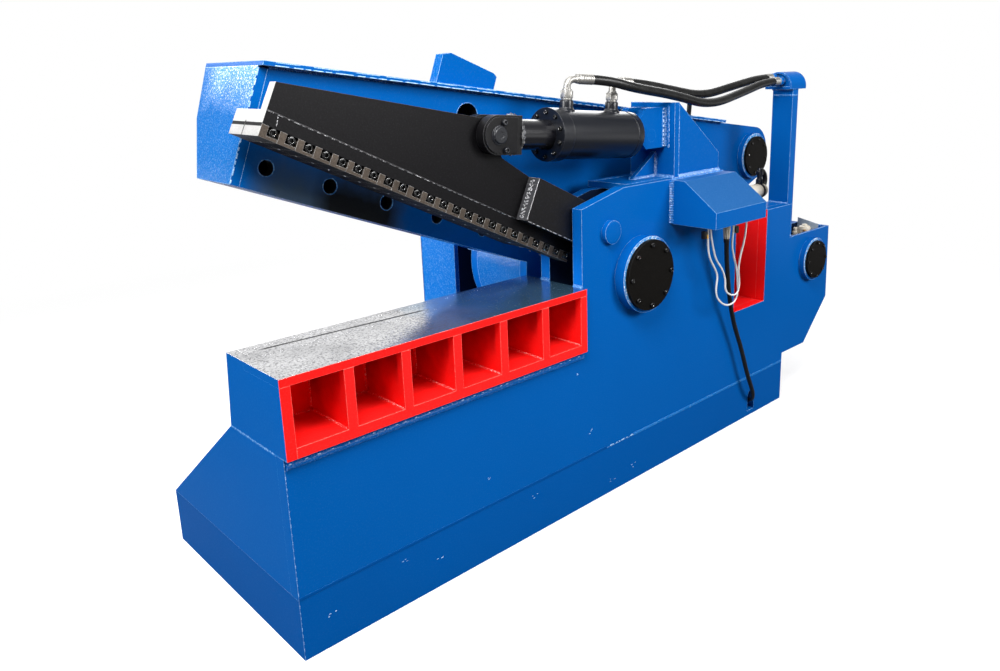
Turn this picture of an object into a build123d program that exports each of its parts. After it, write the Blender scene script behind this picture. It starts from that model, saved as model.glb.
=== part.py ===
"""Alligator shear: a hydraulic scrap shear welded up from plates on a hollow base.

Places are measured from the front of the base (rearwards), from the outer face of the near
side plate (depth, towards the far side) and from the floor (height). The part's own origin is
the middle of the base's underside.
"""
import os
from math import acos, atan2, cos, hypot, pi, radians, sin, tan

from build123d import *

os.makedirs("parts", exist_ok=True)

# Base
BASE_LENGTH = 2660.0
BASE_WIDTH = 926.0
SKID_HEIGHT = 200.0
SKID_WALL = 40.0
SKID_FLOOR = 25.0
FRONT_PLATE = 30.0
CHUTE_PLATE = 20.0

# Side plates, counted from the near side
SIDE_PLATE = 46.0
NEAR_BAY = 122.0
MID_BAY = 511.0
FAR_SKIN = 34.0
COLUMN_TOP = 1224.0
COLUMN_SHOULDER = 1171.0
SHOULDER_RUN = 231.0
ROOF_PLATE = 25.0
ROOF_SETBACK = 300.0
COLUMN_FRONT_PLATE = 20.0

# Rear of the side plates
WINDOW_FRONT = 2205.0
WINDOW_REAR = 2466.0
WINDOW_SILL = 558.0
REAR_COLUMN_TOP = 999.0
REAR_COLUMN_REAR = 2683.0
REAR_BOX_TOP = 834.0
INNER_REAR_TOP = 940.0
TAIL_RAKE = 13.0
TAIL_END = 3091.0
TAIL_FOOT = 2876.0
TAIL_KNEE = 451.0
TAIL_UNDERSIDE = 243.0
LINING = 20.0

# Cutting table
TABLE_LENGTH = 1200.0
TABLE_HEIGHT = 882.0
TABLE_SEAT = 642.0
TABLE_PROUD = 22.0
TABLE_PLATE = 25.0
TABLE_FLOOR = 32.0
RIB = 32.0
RIB_COUNT = 7
POCKET_DEPTH = 212.0
BAR_WIDTH = 85.0
BAR_SLANT = 32.0
BLADE_THICKNESS = 25.0
BLADE_HEIGHT = 100.0
BLADE_BOLT = 15.0
BLADE_BOLT_PITCH = 218.0

# Main pivot
PIVOT_X = 1530.0
PIVOT_Z = 877.0
SHAFT_R = 100.0
BUSH_WALL = 18.0
HUB_WALL = 42.0
MAIN_COVER_R = 139.0
MAIN_RING_R = 151.0
MAIN_RING_DEPTH = 45.0
COVER_THICKNESS = 14.0
COVER_SCREW = 9.0
COVER_SCREW_COUNT = 8

# Jaw, in its own frame with the pivot as origin and the cutting edge level
JAW_OPEN = radians(20.83)
JAW_GAP = 111.0
JAW_PLATE = 40.0
JAW_WIDTH = 343.0
JAW_REACH = 1530.0
JAW_BOTTOM = -62.0
JAW_FRONT_TOP = 290.0
JAW_TAIL_TOP = 913.0
JAW_FRONT_PLATE = 30.0
JAW_TOP_PLATE = 14.0
JAW_TOP_OVERHANG = 28.0
JAW_TOP_END = 770.0
JAW_KINK = 125.0
JAW_FOOT_WIDTH = 231.0
JAW_FOOT_PLATE = 30.0
HUB_R = 305.0
HUB_RIM = 35.0
BLADE_HOLE_R = 24.0
BLADE_HOLE_LINE = 12.0
BLADE_HOLE_SETBACK = 96.0
BLADE_HOLE_COUNT = 6
LIFT_HOLE_R = 48.0
LIFT_HOLE_X = -754.0
LIFT_HOLE_DROP = 92.0
TAIL_PIN_X = 1090.0
TAIL_PIN_Y = 761.0
TAIL_PIN_R = 45.0
TAIL_LENGTH = 147.0
TAIL_ROUND = 120.0
TAIL_DROP = 163.0
TAIL_COVER_R = 100.0
TAIL_RING_R = 115.0
TAIL_RING_DEPTH = 28.0
STOP_LENGTH = 254.0
STOP_SETBACK = 626.0
STOP_TOP = 574.0
STOP_PLATE = 40.0
STOP_CHAMFER = 16.0

# Main cylinder, trunnion mounted
TRUNNION_X = 2892.0
TRUNNION_Z = 692.0
TRUNNION_R = 60.0
TRUNNION_BUSH = 14.0
BARREL_R = 118.0
BARREL_WALL = 26.0
BARREL_UP = 390.0
BARREL_DOWN = 275.0
BARREL_CAP = 40.0
BARREL_GLAND = 70.0
MAIN_ROD_R = 70.0
PISTON = 80.0
ROD_EYE_R = 85.0
ROD_EYE_WIDTH = 150.0
EYE_PLAY = 6.0
REAR_COVER_R = 95.0
REAR_RING_R = 108.0
REAR_RING_DEPTH = 28.0
REAR_RIM = 12.0
REAR_RIM_DROP = 44.0

# Clamp, in its own frame with the clamp pin as origin and the grips level
CLAMP_OPEN = radians(25.6)
CLAMP_X = 1350.0
CLAMP_Z = 1068.0
CLAMP_PIN_R = 40.0
CLAMP_CAP_R = 44.0
CLAMP_CAP = 20.0
CLAMP_REACH = 1339.0
CLAMP_NOSE = 0.0
CLAMP_WEB = 35.0
CLAMP_WEB_AT = 105.0
CLAMP_FLANGE = 39.0
CLAMP_FLANGE_WIDTH = 180.0
CLAMP_FLANGE_TOP = -78.0
CLAMP_PEAK_X = -623.0
CLAMP_PEAK_Y = 188.0
CLAMP_DIP_X = -515.0
CLAMP_DIP_Y = 92.0
CLAMP_HUB_FRONT = -372.0
CLAMP_HUB_TOP = 76.0
CLAMP_HUB_AT = 50.0
CLAMP_NEAR_END = -62.0
CLAMP_FAR_END = -180.0
GRIP_PITCH = 55.5
GRIP_HEIGHT = 35.0
GRIP_WIDTH = 60.0
GRIP_SLIT = 1.5
GRIP_LIP = 9.0
GRIP_RECESS = 33.0
GRIP_RECESS_DEPTH = 15.0
GRIP_COUNT = 23
GRIP_FAR_COUNT = 20
GRIP_FAR_WIDTH = 80.0
GRIP_SCREW_R = 12.5
GRIP_SCREW = 13.0

# Clamp cylinder
RAM_TAIL_X = 1680.0
RAM_TAIL_Z = 1396.0
RAM_HEAD_X = 878.0
RAM_HEAD_Z = 1455.0
RAM_R = 89.0
RAM_WALL = 19.0
RAM_FRONT = 481.0
RAM_REAR = 84.0
RAM_CAP = 30.0
RAM_EYE_R = 46.0
RAM_EYE_WIDTH = 50.0
RAM_PIN_R = 25.0
GLAND_R = 95.0
GLAND = 50.0
RAM_ROD_R = 53.0
RAM_PISTON = 50.0
CLEVIS_R = 65.0
CLEVIS_EAR = 35.0
CLEVIS_GAP = 45.0
CLEVIS_SLOT = 85.0
CLEVIS_BASE = 20.0
CLEVIS_PIN_R = 25.0
CLEVIS_PLAY = 6.0
PORT_FRONT = 431.0
PORT_REAR = 184.0
PORT_BOSS_R = 24.0
PORT_BOSS_TOP = 123.0
PORT_NUT_R = 24.0
PORT_NUT_TOP = 158.0
PORT_RISE = 200.0
ELBOW_BEND = 26.0
ELBOW_R = 12.0
ELBOW_REACH = 60.0
FERRULE_R = 20.0
FERRULE = 26.0
ELBOW_TURN = radians(18.0)

# Bracket that carries the clamp cylinder
BRACKET_X = 1765.0
BRACKET_PLATE = 30.0
BRACKET_AT = 18.0
BRACKET_WIDTH = 225.0
BRACKET_TOP = 1520.0
CHEEK = 30.0
CHEEK_RUN = 280.0
CHEEK_FOOT = 76.0
LUG = 30.0
LUG_GAP = 55.0
LUG_FRONT = 75.0
LUG_TOP = 107.0
LUG_BOTTOM = 51.0
LUG_CHAMFER = 38.0
GUSSET = 20.0
GUSSET_RUN = 147.0
GUSSET_RISE = 99.0

# Control hood
HOOD_X = 1725.0
HOOD_LENGTH = 360.0
HOOD_SHEET = 6.0
HOOD_TOP = 1220.0
HOOD_LEDGE = 63.0
HOOD_DEPTH = 215.0
HOOD_BROW = 1108.0
HOOD_LIP = 1043.0
BLOCK_X = 1765.0
BLOCK_LENGTH = 300.0
BLOCK_DEPTH = 150.0
BLOCK_TOP = 1092.0
BLOCK_BOTTOM = 1062.0

# Post and hose saddle
POST_LENGTH = 50.0
POST_WIDTH = 105.0
POST_AT = 22.0
POST_TOP = 1540.0
POST_CAP = 12.0
SADDLE_R = 68.0
SADDLE_WALL = 8.0
SADDLE_AT = 88.0
SADDLE_FRONT = 2660.0
SADDLE_LENGTH = 140.0
BULKHEAD = 14.0
NIPPLE_R = 12.0
NIPPLE_END = 2630.0
NIPPLE_LOW = (72.0, 1578.0)
NIPPLE_HIGH = (110.0, 1594.0)

# Cords
HOSE_R = 18.0
HOSE_LEAD = 110.0
CABLE_R = 10.0
WIRE_R = 4.0
CABLE_SLOT_SETBACK = 277.0
CABLE_SLOT_WIDTH = 56.0
CABLE_SLOT_TOP = 128.0

# Clearances
RUN_FIT = 0.05
SIDE_PLAY = 0.4
MOUTH_PLAY = 3.0

# Derived places
FRONT = -BASE_LENGTH / 2
NEAR = -BASE_WIDTH / 2
INNER_AT = SIDE_PLATE + NEAR_BAY
MID_AT = INNER_AT + SIDE_PLATE
FAR_INNER_AT = MID_AT + MID_BAY
FAR_BAY_AT = FAR_INNER_AT + SIDE_PLATE
FAR_FACE = BASE_WIDTH + FAR_SKIN
JAW_NEAR = MID_AT + JAW_GAP
JAW_FAR = JAW_NEAR + JAW_WIDTH
JAW_MID = JAW_NEAR + JAW_WIDTH / 2
JAW_SLOPE = (JAW_TAIL_TOP - JAW_FRONT_TOP) / (JAW_REACH + TAIL_PIN_X)
SHOULDER_X = TABLE_LENGTH + SHOULDER_RUN
ROOF_X = TABLE_LENGTH + ROOF_SETBACK
HOOD_END = HOOD_X + HOOD_LENGTH
POCKET_BACK = POCKET_DEPTH - TABLE_PROUD
BLADE_AT = POCKET_BACK + BAR_WIDTH
BLADE_FACE = BLADE_AT + BLADE_THICKNESS
BAR_FOOT = BLADE_FACE + BAR_SLANT
BUSH_R = SHAFT_R + BUSH_WALL
HUB_TUBE_R = BUSH_R + HUB_WALL
BUSH_SEAT_R = TRUNNION_R + TRUNNION_BUSH
WEB_MID = CLAMP_WEB_AT + CLAMP_WEB / 2
CLAMP_HUB_END = INNER_AT - MOUTH_PLAY
CABLE_SLOT_X = BASE_LENGTH - CABLE_SLOT_SETBACK


def side(depth):
    """Plane along a side plate: x rearwards, y up, facing the near side."""
    return Plane(origin=(FRONT, NEAR + depth, 0), x_dir=(1, 0, 0), z_dir=(0, -1, 0))


def across(distance):
    """Plane across the machine: x to the far side, y up, facing rearwards."""
    return Plane(origin=(FRONT + distance, NEAR, 0), x_dir=(0, 1, 0), z_dir=(1, 0, 0))


def level(height):
    """Level plane: x rearwards, y to the far side."""
    return Plane(origin=(FRONT, NEAR, height))


def turned(x, z, angle, depth):
    """Side plane with its origin on a pivot, tipped nose-up by an angle."""
    return Plane(
        origin=(FRONT + x, NEAR + depth, z),
        x_dir=(cos(angle), 0, -sin(angle)),
        z_dir=(0, -1, 0),
    )


def jaw_side(depth):
    """Side plane in the jaw's frame."""
    return turned(PIVOT_X, PIVOT_Z, JAW_OPEN, depth)


def clamp_side(depth):
    """Side plane in the clamp's frame."""
    return turned(CLAMP_X, CLAMP_Z, CLAMP_OPEN, depth)


def jaw_top(x):
    """Height of the jaw's top edge above its pivot line."""
    return JAW_FRONT_TOP + (x + JAW_REACH) * JAW_SLOPE


def place(x, depth, height):
    """Point of the photo's measuring frame in the part's own frame."""
    return Vector(FRONT + x, NEAR + depth, height)


# Base skid, hollow, open on top, with a slot for the supply cable
with BuildPart() as base_skid:
    with BuildSketch(level(0)):
        Rectangle(BASE_LENGTH, BASE_WIDTH, align=(Align.MIN, Align.MIN))
    extrude(amount=SKID_HEIGHT)
    with BuildSketch(level(SKID_FLOOR)):
        with Locations((SKID_WALL, SKID_WALL)):
            Rectangle(
                BASE_LENGTH - 2 * SKID_WALL,
                BASE_WIDTH - 2 * SKID_WALL,
                align=(Align.MIN, Align.MIN),
            )
    extrude(amount=SKID_HEIGHT, mode=Mode.SUBTRACT)
    with BuildSketch(side(0)):
        with Locations((CABLE_SLOT_X, SKID_FLOOR)):
            Rectangle(
                CABLE_SLOT_WIDTH,
                CABLE_SLOT_TOP - SKID_FLOOR - CABLE_SLOT_WIDTH / 2,
                align=(Align.CENTER, Align.MIN),
            )
        with Locations((CABLE_SLOT_X, CABLE_SLOT_TOP - CABLE_SLOT_WIDTH / 2)):
            Circle(CABLE_SLOT_WIDTH / 2)
    extrude(amount=-SKID_WALL, mode=Mode.SUBTRACT)
base_skid.part.label = "base_skid"
export_step(base_skid.part, "parts/base_skid.step")

with BuildPart() as front_plate:
    with BuildSketch(across(0)):
        with BuildLine():
            Polyline(
                (SIDE_PLATE, SKID_HEIGHT),
                (BASE_WIDTH, SKID_HEIGHT),
                (BAR_FOOT, TABLE_SEAT),
                (SIDE_PLATE, TABLE_SEAT),
                close=True,
            )
        make_face()
    extrude(amount=FRONT_PLATE)
front_plate.part.label = "front_plate"
export_step(front_plate.part, "parts/front_plate.step")

CHUTE_CUT = CHUTE_PLATE * hypot(BASE_WIDTH - BAR_FOOT, TABLE_SEAT - SKID_HEIGHT) / (
    TABLE_SEAT - SKID_HEIGHT
)
with BuildPart() as chute_plate:
    with BuildSketch(across(FRONT_PLATE)):
        with BuildLine():
            Polyline(
                (BAR_FOOT, TABLE_SEAT),
                (BASE_WIDTH, SKID_HEIGHT),
                (BASE_WIDTH - CHUTE_CUT, SKID_HEIGHT),
                (BAR_FOOT - CHUTE_CUT, TABLE_SEAT),
                close=True,
            )
        make_face()
    extrude(amount=TABLE_LENGTH - COLUMN_FRONT_PLATE - FRONT_PLATE)
chute_plate.part.label = "chute_plate"
export_step(chute_plate.part, "parts/chute_plate.step")

# Side plates
with BuildPart() as near_side_plate:
    with BuildSketch(side(0)):
        with BuildLine():
            Polyline(
                (0, SKID_HEIGHT),
                (0, TABLE_SEAT),
                (TABLE_LENGTH, TABLE_SEAT),
                (TABLE_LENGTH, COLUMN_SHOULDER),
                (SHOULDER_X, COLUMN_TOP),
                (HOOD_END, COLUMN_TOP),
                (WINDOW_FRONT, REAR_COLUMN_TOP),
                (WINDOW_FRONT, WINDOW_SILL),
                (WINDOW_REAR, WINDOW_SILL),
                (WINDOW_REAR, REAR_COLUMN_TOP),
                (REAR_COLUMN_REAR, REAR_COLUMN_TOP),
                (REAR_COLUMN_REAR, REAR_BOX_TOP),
                (TAIL_END - TAIL_RAKE, REAR_BOX_TOP),
                (TAIL_END, TAIL_KNEE),
                (TAIL_FOOT, TAIL_UNDERSIDE),
                (BASE_LENGTH, TAIL_UNDERSIDE),
                (BASE_LENGTH, SKID_HEIGHT),
                close=True,
            )
        make_face()
        with Locations((PIVOT_X, PIVOT_Z)):
            Circle(SHAFT_R + RUN_FIT, mode=Mode.SUBTRACT)
        with Locations((CLAMP_X, CLAMP_Z)):
            Circle(CLAMP_PIN_R + RUN_FIT, mode=Mode.SUBTRACT)
        with Locations((TRUNNION_X, TRUNNION_Z)):
            Circle(BUSH_SEAT_R, mode=Mode.SUBTRACT)
    extrude(amount=-SIDE_PLATE)
    with BuildSketch(side(REAR_RIM)):
        with Locations((REAR_COLUMN_REAR + POST_LENGTH, REAR_BOX_TOP - REAR_RIM_DROP)):
            Rectangle(
                TAIL_END - TAIL_RAKE - LINING - REAR_COLUMN_REAR - POST_LENGTH,
                REAR_RIM_DROP,
                align=(Align.MIN, Align.MIN),
            )
    extrude(amount=-(SIDE_PLATE - REAR_RIM), mode=Mode.SUBTRACT)
near_side_plate.part.label = "near_side_plate"
export_step(near_side_plate.part, "parts/near_side_plate.step")

with BuildPart() as inner_side_plate:
    with BuildSketch(side(INNER_AT)):
        with BuildLine():
            Polyline(
                (TABLE_LENGTH, SKID_HEIGHT),
                (TABLE_LENGTH, COLUMN_SHOULDER - ROOF_PLATE),
                (SHOULDER_X, COLUMN_TOP - ROOF_PLATE),
                (HOOD_END, COLUMN_TOP - ROOF_PLATE),
                (WINDOW_FRONT, INNER_REAR_TOP),
                (REAR_COLUMN_REAR, INNER_REAR_TOP),
                (REAR_COLUMN_REAR, REAR_BOX_TOP),
                (TAIL_END - TAIL_RAKE, REAR_BOX_TOP),
                (TAIL_END, TAIL_KNEE),
                (TAIL_FOOT, TAIL_UNDERSIDE),
                (BASE_LENGTH, TAIL_UNDERSIDE),
                (BASE_LENGTH, SKID_HEIGHT),
                close=True,
            )
        make_face()
        with Locations((PIVOT_X, PIVOT_Z)):
            Circle(SHAFT_R + RUN_FIT, mode=Mode.SUBTRACT)
        with Locations((CLAMP_X, CLAMP_Z)):
            Circle(CLAMP_PIN_R + RUN_FIT, mode=Mode.SUBTRACT)
        with Locations((TRUNNION_X, TRUNNION_Z)):
            Circle(BUSH_SEAT_R, mode=Mode.SUBTRACT)
    extrude(amount=-SIDE_PLATE)
inner_side_plate.part.label = "inner_side_plate"
export_step(inner_side_plate.part, "parts/inner_side_plate.step")

with BuildPart() as far_inner_plate:
    with BuildSketch(side(FAR_INNER_AT)):
        with BuildLine():
            Polyline(
                (TABLE_LENGTH, SKID_HEIGHT),
                (TABLE_LENGTH, COLUMN_SHOULDER - ROOF_PLATE),
                (SHOULDER_X, COLUMN_TOP - ROOF_PLATE),
                (HOOD_END, COLUMN_TOP - ROOF_PLATE),
                (WINDOW_FRONT, INNER_REAR_TOP),
                (REAR_COLUMN_REAR, INNER_REAR_TOP),
                (REAR_COLUMN_REAR, REAR_BOX_TOP),
                (TAIL_END - TAIL_RAKE, REAR_BOX_TOP),
                (TAIL_END, TAIL_KNEE),
                (TAIL_FOOT, TAIL_UNDERSIDE),
                (BASE_LENGTH, TAIL_UNDERSIDE),
                (BASE_LENGTH, SKID_HEIGHT),
                close=True,
            )
        make_face()
        with Locations((PIVOT_X, PIVOT_Z)):
            Circle(SHAFT_R + RUN_FIT, mode=Mode.SUBTRACT)
        with Locations((TRUNNION_X, TRUNNION_Z)):
            Circle(BUSH_SEAT_R, mode=Mode.SUBTRACT)
    extrude(amount=-SIDE_PLATE)
far_inner_plate.part.label = "far_inner_plate"
export_step(far_inner_plate.part, "parts/far_inner_plate.step")

with BuildPart() as far_outer_plate:
    with BuildSketch(side(BASE_WIDTH)):
        with BuildLine():
            Polyline(
                (TABLE_LENGTH, 0),
                (TABLE_LENGTH, COLUMN_SHOULDER),
                (SHOULDER_X, COLUMN_TOP),
                (HOOD_END, COLUMN_TOP),
                (WINDOW_FRONT, INNER_REAR_TOP + ROOF_PLATE),
                (REAR_COLUMN_REAR, INNER_REAR_TOP + ROOF_PLATE),
                (REAR_COLUMN_REAR, REAR_BOX_TOP),
                (TAIL_END - TAIL_RAKE, REAR_BOX_TOP),
                (TAIL_END, TAIL_KNEE),
                (TAIL_FOOT, TAIL_UNDERSIDE),
                (BASE_LENGTH, TAIL_UNDERSIDE),
                (BASE_LENGTH, 0),
                close=True,
            )
        make_face()
        with Locations((PIVOT_X, PIVOT_Z)):
            Circle(SHAFT_R + RUN_FIT, mode=Mode.SUBTRACT)
        with Locations((TRUNNION_X, TRUNNION_Z)):
            Circle(BUSH_SEAT_R, mode=Mode.SUBTRACT)
    extrude(amount=-FAR_SKIN)
far_outer_plate.part.label = "far_outer_plate"
export_step(far_outer_plate.part, "parts/far_outer_plate.step")

with BuildPart() as far_column_front:
    with BuildSketch(across(TABLE_LENGTH - COLUMN_FRONT_PLATE)):
        with BuildLine():
            Polyline(
                (FAR_INNER_AT, SKID_HEIGHT),
                (FAR_FACE, SKID_HEIGHT),
                (FAR_FACE, COLUMN_SHOULDER),
                (FAR_INNER_AT, COLUMN_SHOULDER),
                close=True,
            )
        make_face()
    extrude(amount=COLUMN_FRONT_PLATE)
far_column_front.part.label = "far_column_front"
export_step(far_column_front.part, "parts/far_column_front.step")

# Roofs over the hub bay and the far bay
with BuildPart() as bay_roofs:
    with BuildSketch(level(COLUMN_TOP - ROOF_PLATE)):
        with Locations((ROOF_X, SIDE_PLATE)):
            Rectangle(
                HOOD_END - ROOF_X,
                MID_AT + BRACKET_PLATE - SIDE_PLATE,
                align=(Align.MIN, Align.MIN),
            )
    extrude(amount=ROOF_PLATE)
    with BuildSketch(side(FAR_INNER_AT)):
        with BuildLine():
            Polyline(
                (TABLE_LENGTH, COLUMN_SHOULDER - ROOF_PLATE),
                (SHOULDER_X, COLUMN_TOP - ROOF_PLATE),
                (HOOD_END, COLUMN_TOP - ROOF_PLATE),
                (WINDOW_FRONT, INNER_REAR_TOP),
                (REAR_COLUMN_REAR, INNER_REAR_TOP),
                (REAR_COLUMN_REAR, INNER_REAR_TOP + ROOF_PLATE),
                (WINDOW_FRONT, INNER_REAR_TOP + ROOF_PLATE),
                (HOOD_END, COLUMN_TOP),
                (SHOULDER_X, COLUMN_TOP),
                (TABLE_LENGTH, COLUMN_SHOULDER),
                close=True,
            )
        make_face()
    extrude(amount=-(BASE_WIDTH - FAR_INNER_AT))
bay_roofs.part.label = "bay_roofs"
export_step(bay_roofs.part, "parts/bay_roofs.step")

# Cutting table
with BuildPart() as table_top:
    with BuildSketch(level(TABLE_HEIGHT - TABLE_PLATE)):
        with Locations((0, -TABLE_PROUD)):
            Rectangle(TABLE_LENGTH, POCKET_DEPTH, align=(Align.MIN, Align.MIN))
    extrude(amount=TABLE_PLATE)
table_top.part.label = "table_top"
export_step(table_top.part, "parts/table_top.step")

RIB_STEP = (TABLE_LENGTH - RIB) / (RIB_COUNT - 1)
with BuildPart() as table_ribs:
    with BuildSketch(level(TABLE_SEAT)):
        with Locations((RIB, -TABLE_PROUD)):
            Rectangle(TABLE_LENGTH - RIB, POCKET_DEPTH, align=(Align.MIN, Align.MIN))
    extrude(amount=TABLE_FLOOR)
    for rib in range(1, RIB_COUNT):
        with BuildSketch(across(rib * RIB_STEP)):
            with Locations((-TABLE_PROUD, TABLE_SEAT + TABLE_FLOOR)):
                Rectangle(
                    POCKET_DEPTH,
                    TABLE_HEIGHT - TABLE_PLATE - TABLE_SEAT - TABLE_FLOOR,
                    align=(Align.MIN, Align.MIN),
                )
        extrude(amount=RIB)
table_ribs.part.label = "table_ribs"
export_step(table_ribs.part, "parts/table_ribs.step")

with BuildPart() as table_end_plate:
    with BuildSketch(across(0)):
        with BuildLine():
            Polyline(
                (-TABLE_PROUD, TABLE_SEAT),
                (BAR_FOOT, TABLE_SEAT),
                (BLADE_FACE, TABLE_HEIGHT),
                (POCKET_BACK, TABLE_HEIGHT),
                (POCKET_BACK, TABLE_HEIGHT - TABLE_PLATE),
                (-TABLE_PROUD, TABLE_HEIGHT - TABLE_PLATE),
                close=True,
            )
        make_face()
    extrude(amount=RIB)
table_end_plate.part.label = "table_end_plate"
export_step(table_end_plate.part, "parts/table_end_plate.step")

BLADE_FOOT = TABLE_HEIGHT - BLADE_HEIGHT
SEAT_EDGE = BLADE_FACE + BAR_SLANT * BLADE_HEIGHT / (TABLE_HEIGHT - TABLE_SEAT)
with BuildPart() as table_jaw_bar:
    with BuildSketch(across(RIB)):
        with BuildLine():
            Polyline(
                (POCKET_BACK, TABLE_SEAT),
                (BAR_FOOT, TABLE_SEAT),
                (SEAT_EDGE, BLADE_FOOT),
                (BLADE_AT, BLADE_FOOT),
                (BLADE_AT, TABLE_HEIGHT),
                (POCKET_BACK, TABLE_HEIGHT),
                close=True,
            )
        make_face()
    extrude(amount=TABLE_LENGTH - RIB)
table_jaw_bar.part.label = "table_jaw_bar"
export_step(table_jaw_bar.part, "parts/table_jaw_bar.step")

BLADE_BOLT_Z = TABLE_HEIGHT - BLADE_HEIGHT / 2
BLADE_BOLT_COUNT = int((TABLE_LENGTH - RIB) // BLADE_BOLT_PITCH)
BLADE_BOLT_FIRST = RIB + (TABLE_LENGTH - RIB - (BLADE_BOLT_COUNT - 1) * BLADE_BOLT_PITCH) / 2
BLADE_SINK = BLADE_THICKNESS / 2
with BuildPart() as lower_blade:
    with BuildSketch(side(BLADE_AT)):
        with Locations((RIB, BLADE_FOOT)):
            Rectangle(TABLE_LENGTH - RIB, BLADE_HEIGHT, align=(Align.MIN, Align.MIN))
    extrude(amount=-BLADE_THICKNESS)
    with BuildSketch(side(BLADE_FACE)):
        for bolt in range(BLADE_BOLT_COUNT):
            with Locations((BLADE_BOLT_FIRST + bolt * BLADE_BOLT_PITCH, BLADE_BOLT_Z)):
                Circle(BLADE_BOLT + MOUTH_PLAY)
    extrude(amount=BLADE_SINK, mode=Mode.SUBTRACT)
lower_blade.part.label = "lower_blade"
export_step(lower_blade.part, "parts/lower_blade.step")

# Main pivot: shaft, bosses welded to the plates, covers
MAIN_STACK = MAIN_RING_DEPTH + COVER_THICKNESS
with BuildPart() as main_shaft:
    with BuildSketch(side(-MAIN_RING_DEPTH)):
        with Locations((PIVOT_X, PIVOT_Z)):
            Circle(SHAFT_R)
    extrude(amount=-(FAR_FACE + MAIN_RING_DEPTH + REAR_RING_DEPTH))
main_shaft.part.label = "main_shaft"
export_step(main_shaft.part, "parts/main_shaft.step")

with BuildPart() as pivot_rings:
    with BuildSketch(side(MID_AT)):
        with Locations((PIVOT_X, PIVOT_Z)):
            Circle(HUB_TUBE_R)
            Circle(SHAFT_R + RUN_FIT, mode=Mode.SUBTRACT)
    extrude(amount=-(JAW_GAP - SIDE_PLAY))
    with BuildSketch(side(JAW_FAR + SIDE_PLAY)):
        with Locations((PIVOT_X, PIVOT_Z)):
            Circle(HUB_TUBE_R)
            Circle(SHAFT_R + RUN_FIT, mode=Mode.SUBTRACT)
    extrude(amount=-(FAR_INNER_AT - JAW_FAR - SIDE_PLAY))
    with BuildSketch(side(0)):
        with Locations((PIVOT_X, PIVOT_Z)):
            Circle(MAIN_RING_R)
            Circle(SHAFT_R + RUN_FIT, mode=Mode.SUBTRACT)
    extrude(amount=MAIN_RING_DEPTH)
    with BuildSketch(side(FAR_FACE)):
        with Locations((PIVOT_X, PIVOT_Z)):
            Circle(MAIN_RING_R)
            Circle(SHAFT_R + RUN_FIT, mode=Mode.SUBTRACT)
    extrude(amount=-REAR_RING_DEPTH)
    with BuildSketch(side(0)):
        with Locations((TRUNNION_X, TRUNNION_Z)):
            Circle(REAR_RING_R)
            Circle(BUSH_SEAT_R, mode=Mode.SUBTRACT)
    extrude(amount=REAR_RING_DEPTH)
    with BuildSketch(side(FAR_FACE)):
        with Locations((TRUNNION_X, TRUNNION_Z)):
            Circle(REAR_RING_R)
            Circle(BUSH_SEAT_R, mode=Mode.SUBTRACT)
    extrude(amount=-REAR_RING_DEPTH)
pivot_rings.part.label = "pivot_rings"
export_step(pivot_rings.part, "parts/pivot_rings.step")

with BuildPart() as pivot_covers:
    with BuildSketch(side(-MAIN_RING_DEPTH)):
        with Locations((PIVOT_X, PIVOT_Z)):
            Circle(MAIN_COVER_R)
    extrude(amount=COVER_THICKNESS)
    with BuildSketch(side(FAR_FACE + REAR_RING_DEPTH)):
        with Locations((PIVOT_X, PIVOT_Z)):
            Circle(MAIN_COVER_R)
        with Locations((TRUNNION_X, TRUNNION_Z)):
            Circle(REAR_COVER_R)
    extrude(amount=-COVER_THICKNESS)
    with BuildSketch(side(-REAR_RING_DEPTH)):
        with Locations((TRUNNION_X, TRUNNION_Z)):
            Circle(REAR_COVER_R)
    extrude(amount=COVER_THICKNESS)
pivot_covers.part.label = "pivot_covers"
export_step(pivot_covers.part, "parts/pivot_covers.step")

MAIN_SCREW_R = (MAIN_COVER_R + SHAFT_R) / 2
REAR_SCREW_R = (REAR_COVER_R + BUSH_SEAT_R) / 2
with BuildPart() as socket_screws:
    with BuildSketch(side(BLADE_FACE - BLADE_SINK)):
        for bolt in range(BLADE_BOLT_COUNT):
            with Locations((BLADE_BOLT_FIRST + bolt * BLADE_BOLT_PITCH, BLADE_BOLT_Z)):
                Circle(BLADE_BOLT)
                RegularPolygon(BLADE_BOLT / 2, 6, mode=Mode.SUBTRACT)
    extrude(amount=-BLADE_SINK * 0.8)
    with BuildSketch(side(-MAIN_STACK)):
        with Locations((PIVOT_X, PIVOT_Z)):
            with PolarLocations(MAIN_SCREW_R, COVER_SCREW_COUNT):
                Circle(COVER_SCREW)
    extrude(amount=COVER_SCREW)
    with BuildSketch(side(FAR_FACE + REAR_RING_DEPTH + COVER_THICKNESS)):
        with Locations((PIVOT_X, PIVOT_Z)):
            with PolarLocations(MAIN_SCREW_R, COVER_SCREW_COUNT):
                Circle(COVER_SCREW)
        with Locations((TRUNNION_X, TRUNNION_Z)):
            with PolarLocations(REAR_SCREW_R, COVER_SCREW_COUNT):
                Circle(COVER_SCREW * 2 / 3)
    extrude(amount=-COVER_SCREW * 2 / 3)
    with BuildSketch(side(-REAR_RING_DEPTH - COVER_THICKNESS)):
        with Locations((TRUNNION_X, TRUNNION_Z)):
            with PolarLocations(REAR_SCREW_R, COVER_SCREW_COUNT):
                Circle(COVER_SCREW * 2 / 3)
    extrude(amount=COVER_SCREW * 2 / 3)
socket_screws.part.label = "socket_screws"
export_step(socket_screws.part, "parts/socket_screws.step")

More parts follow.
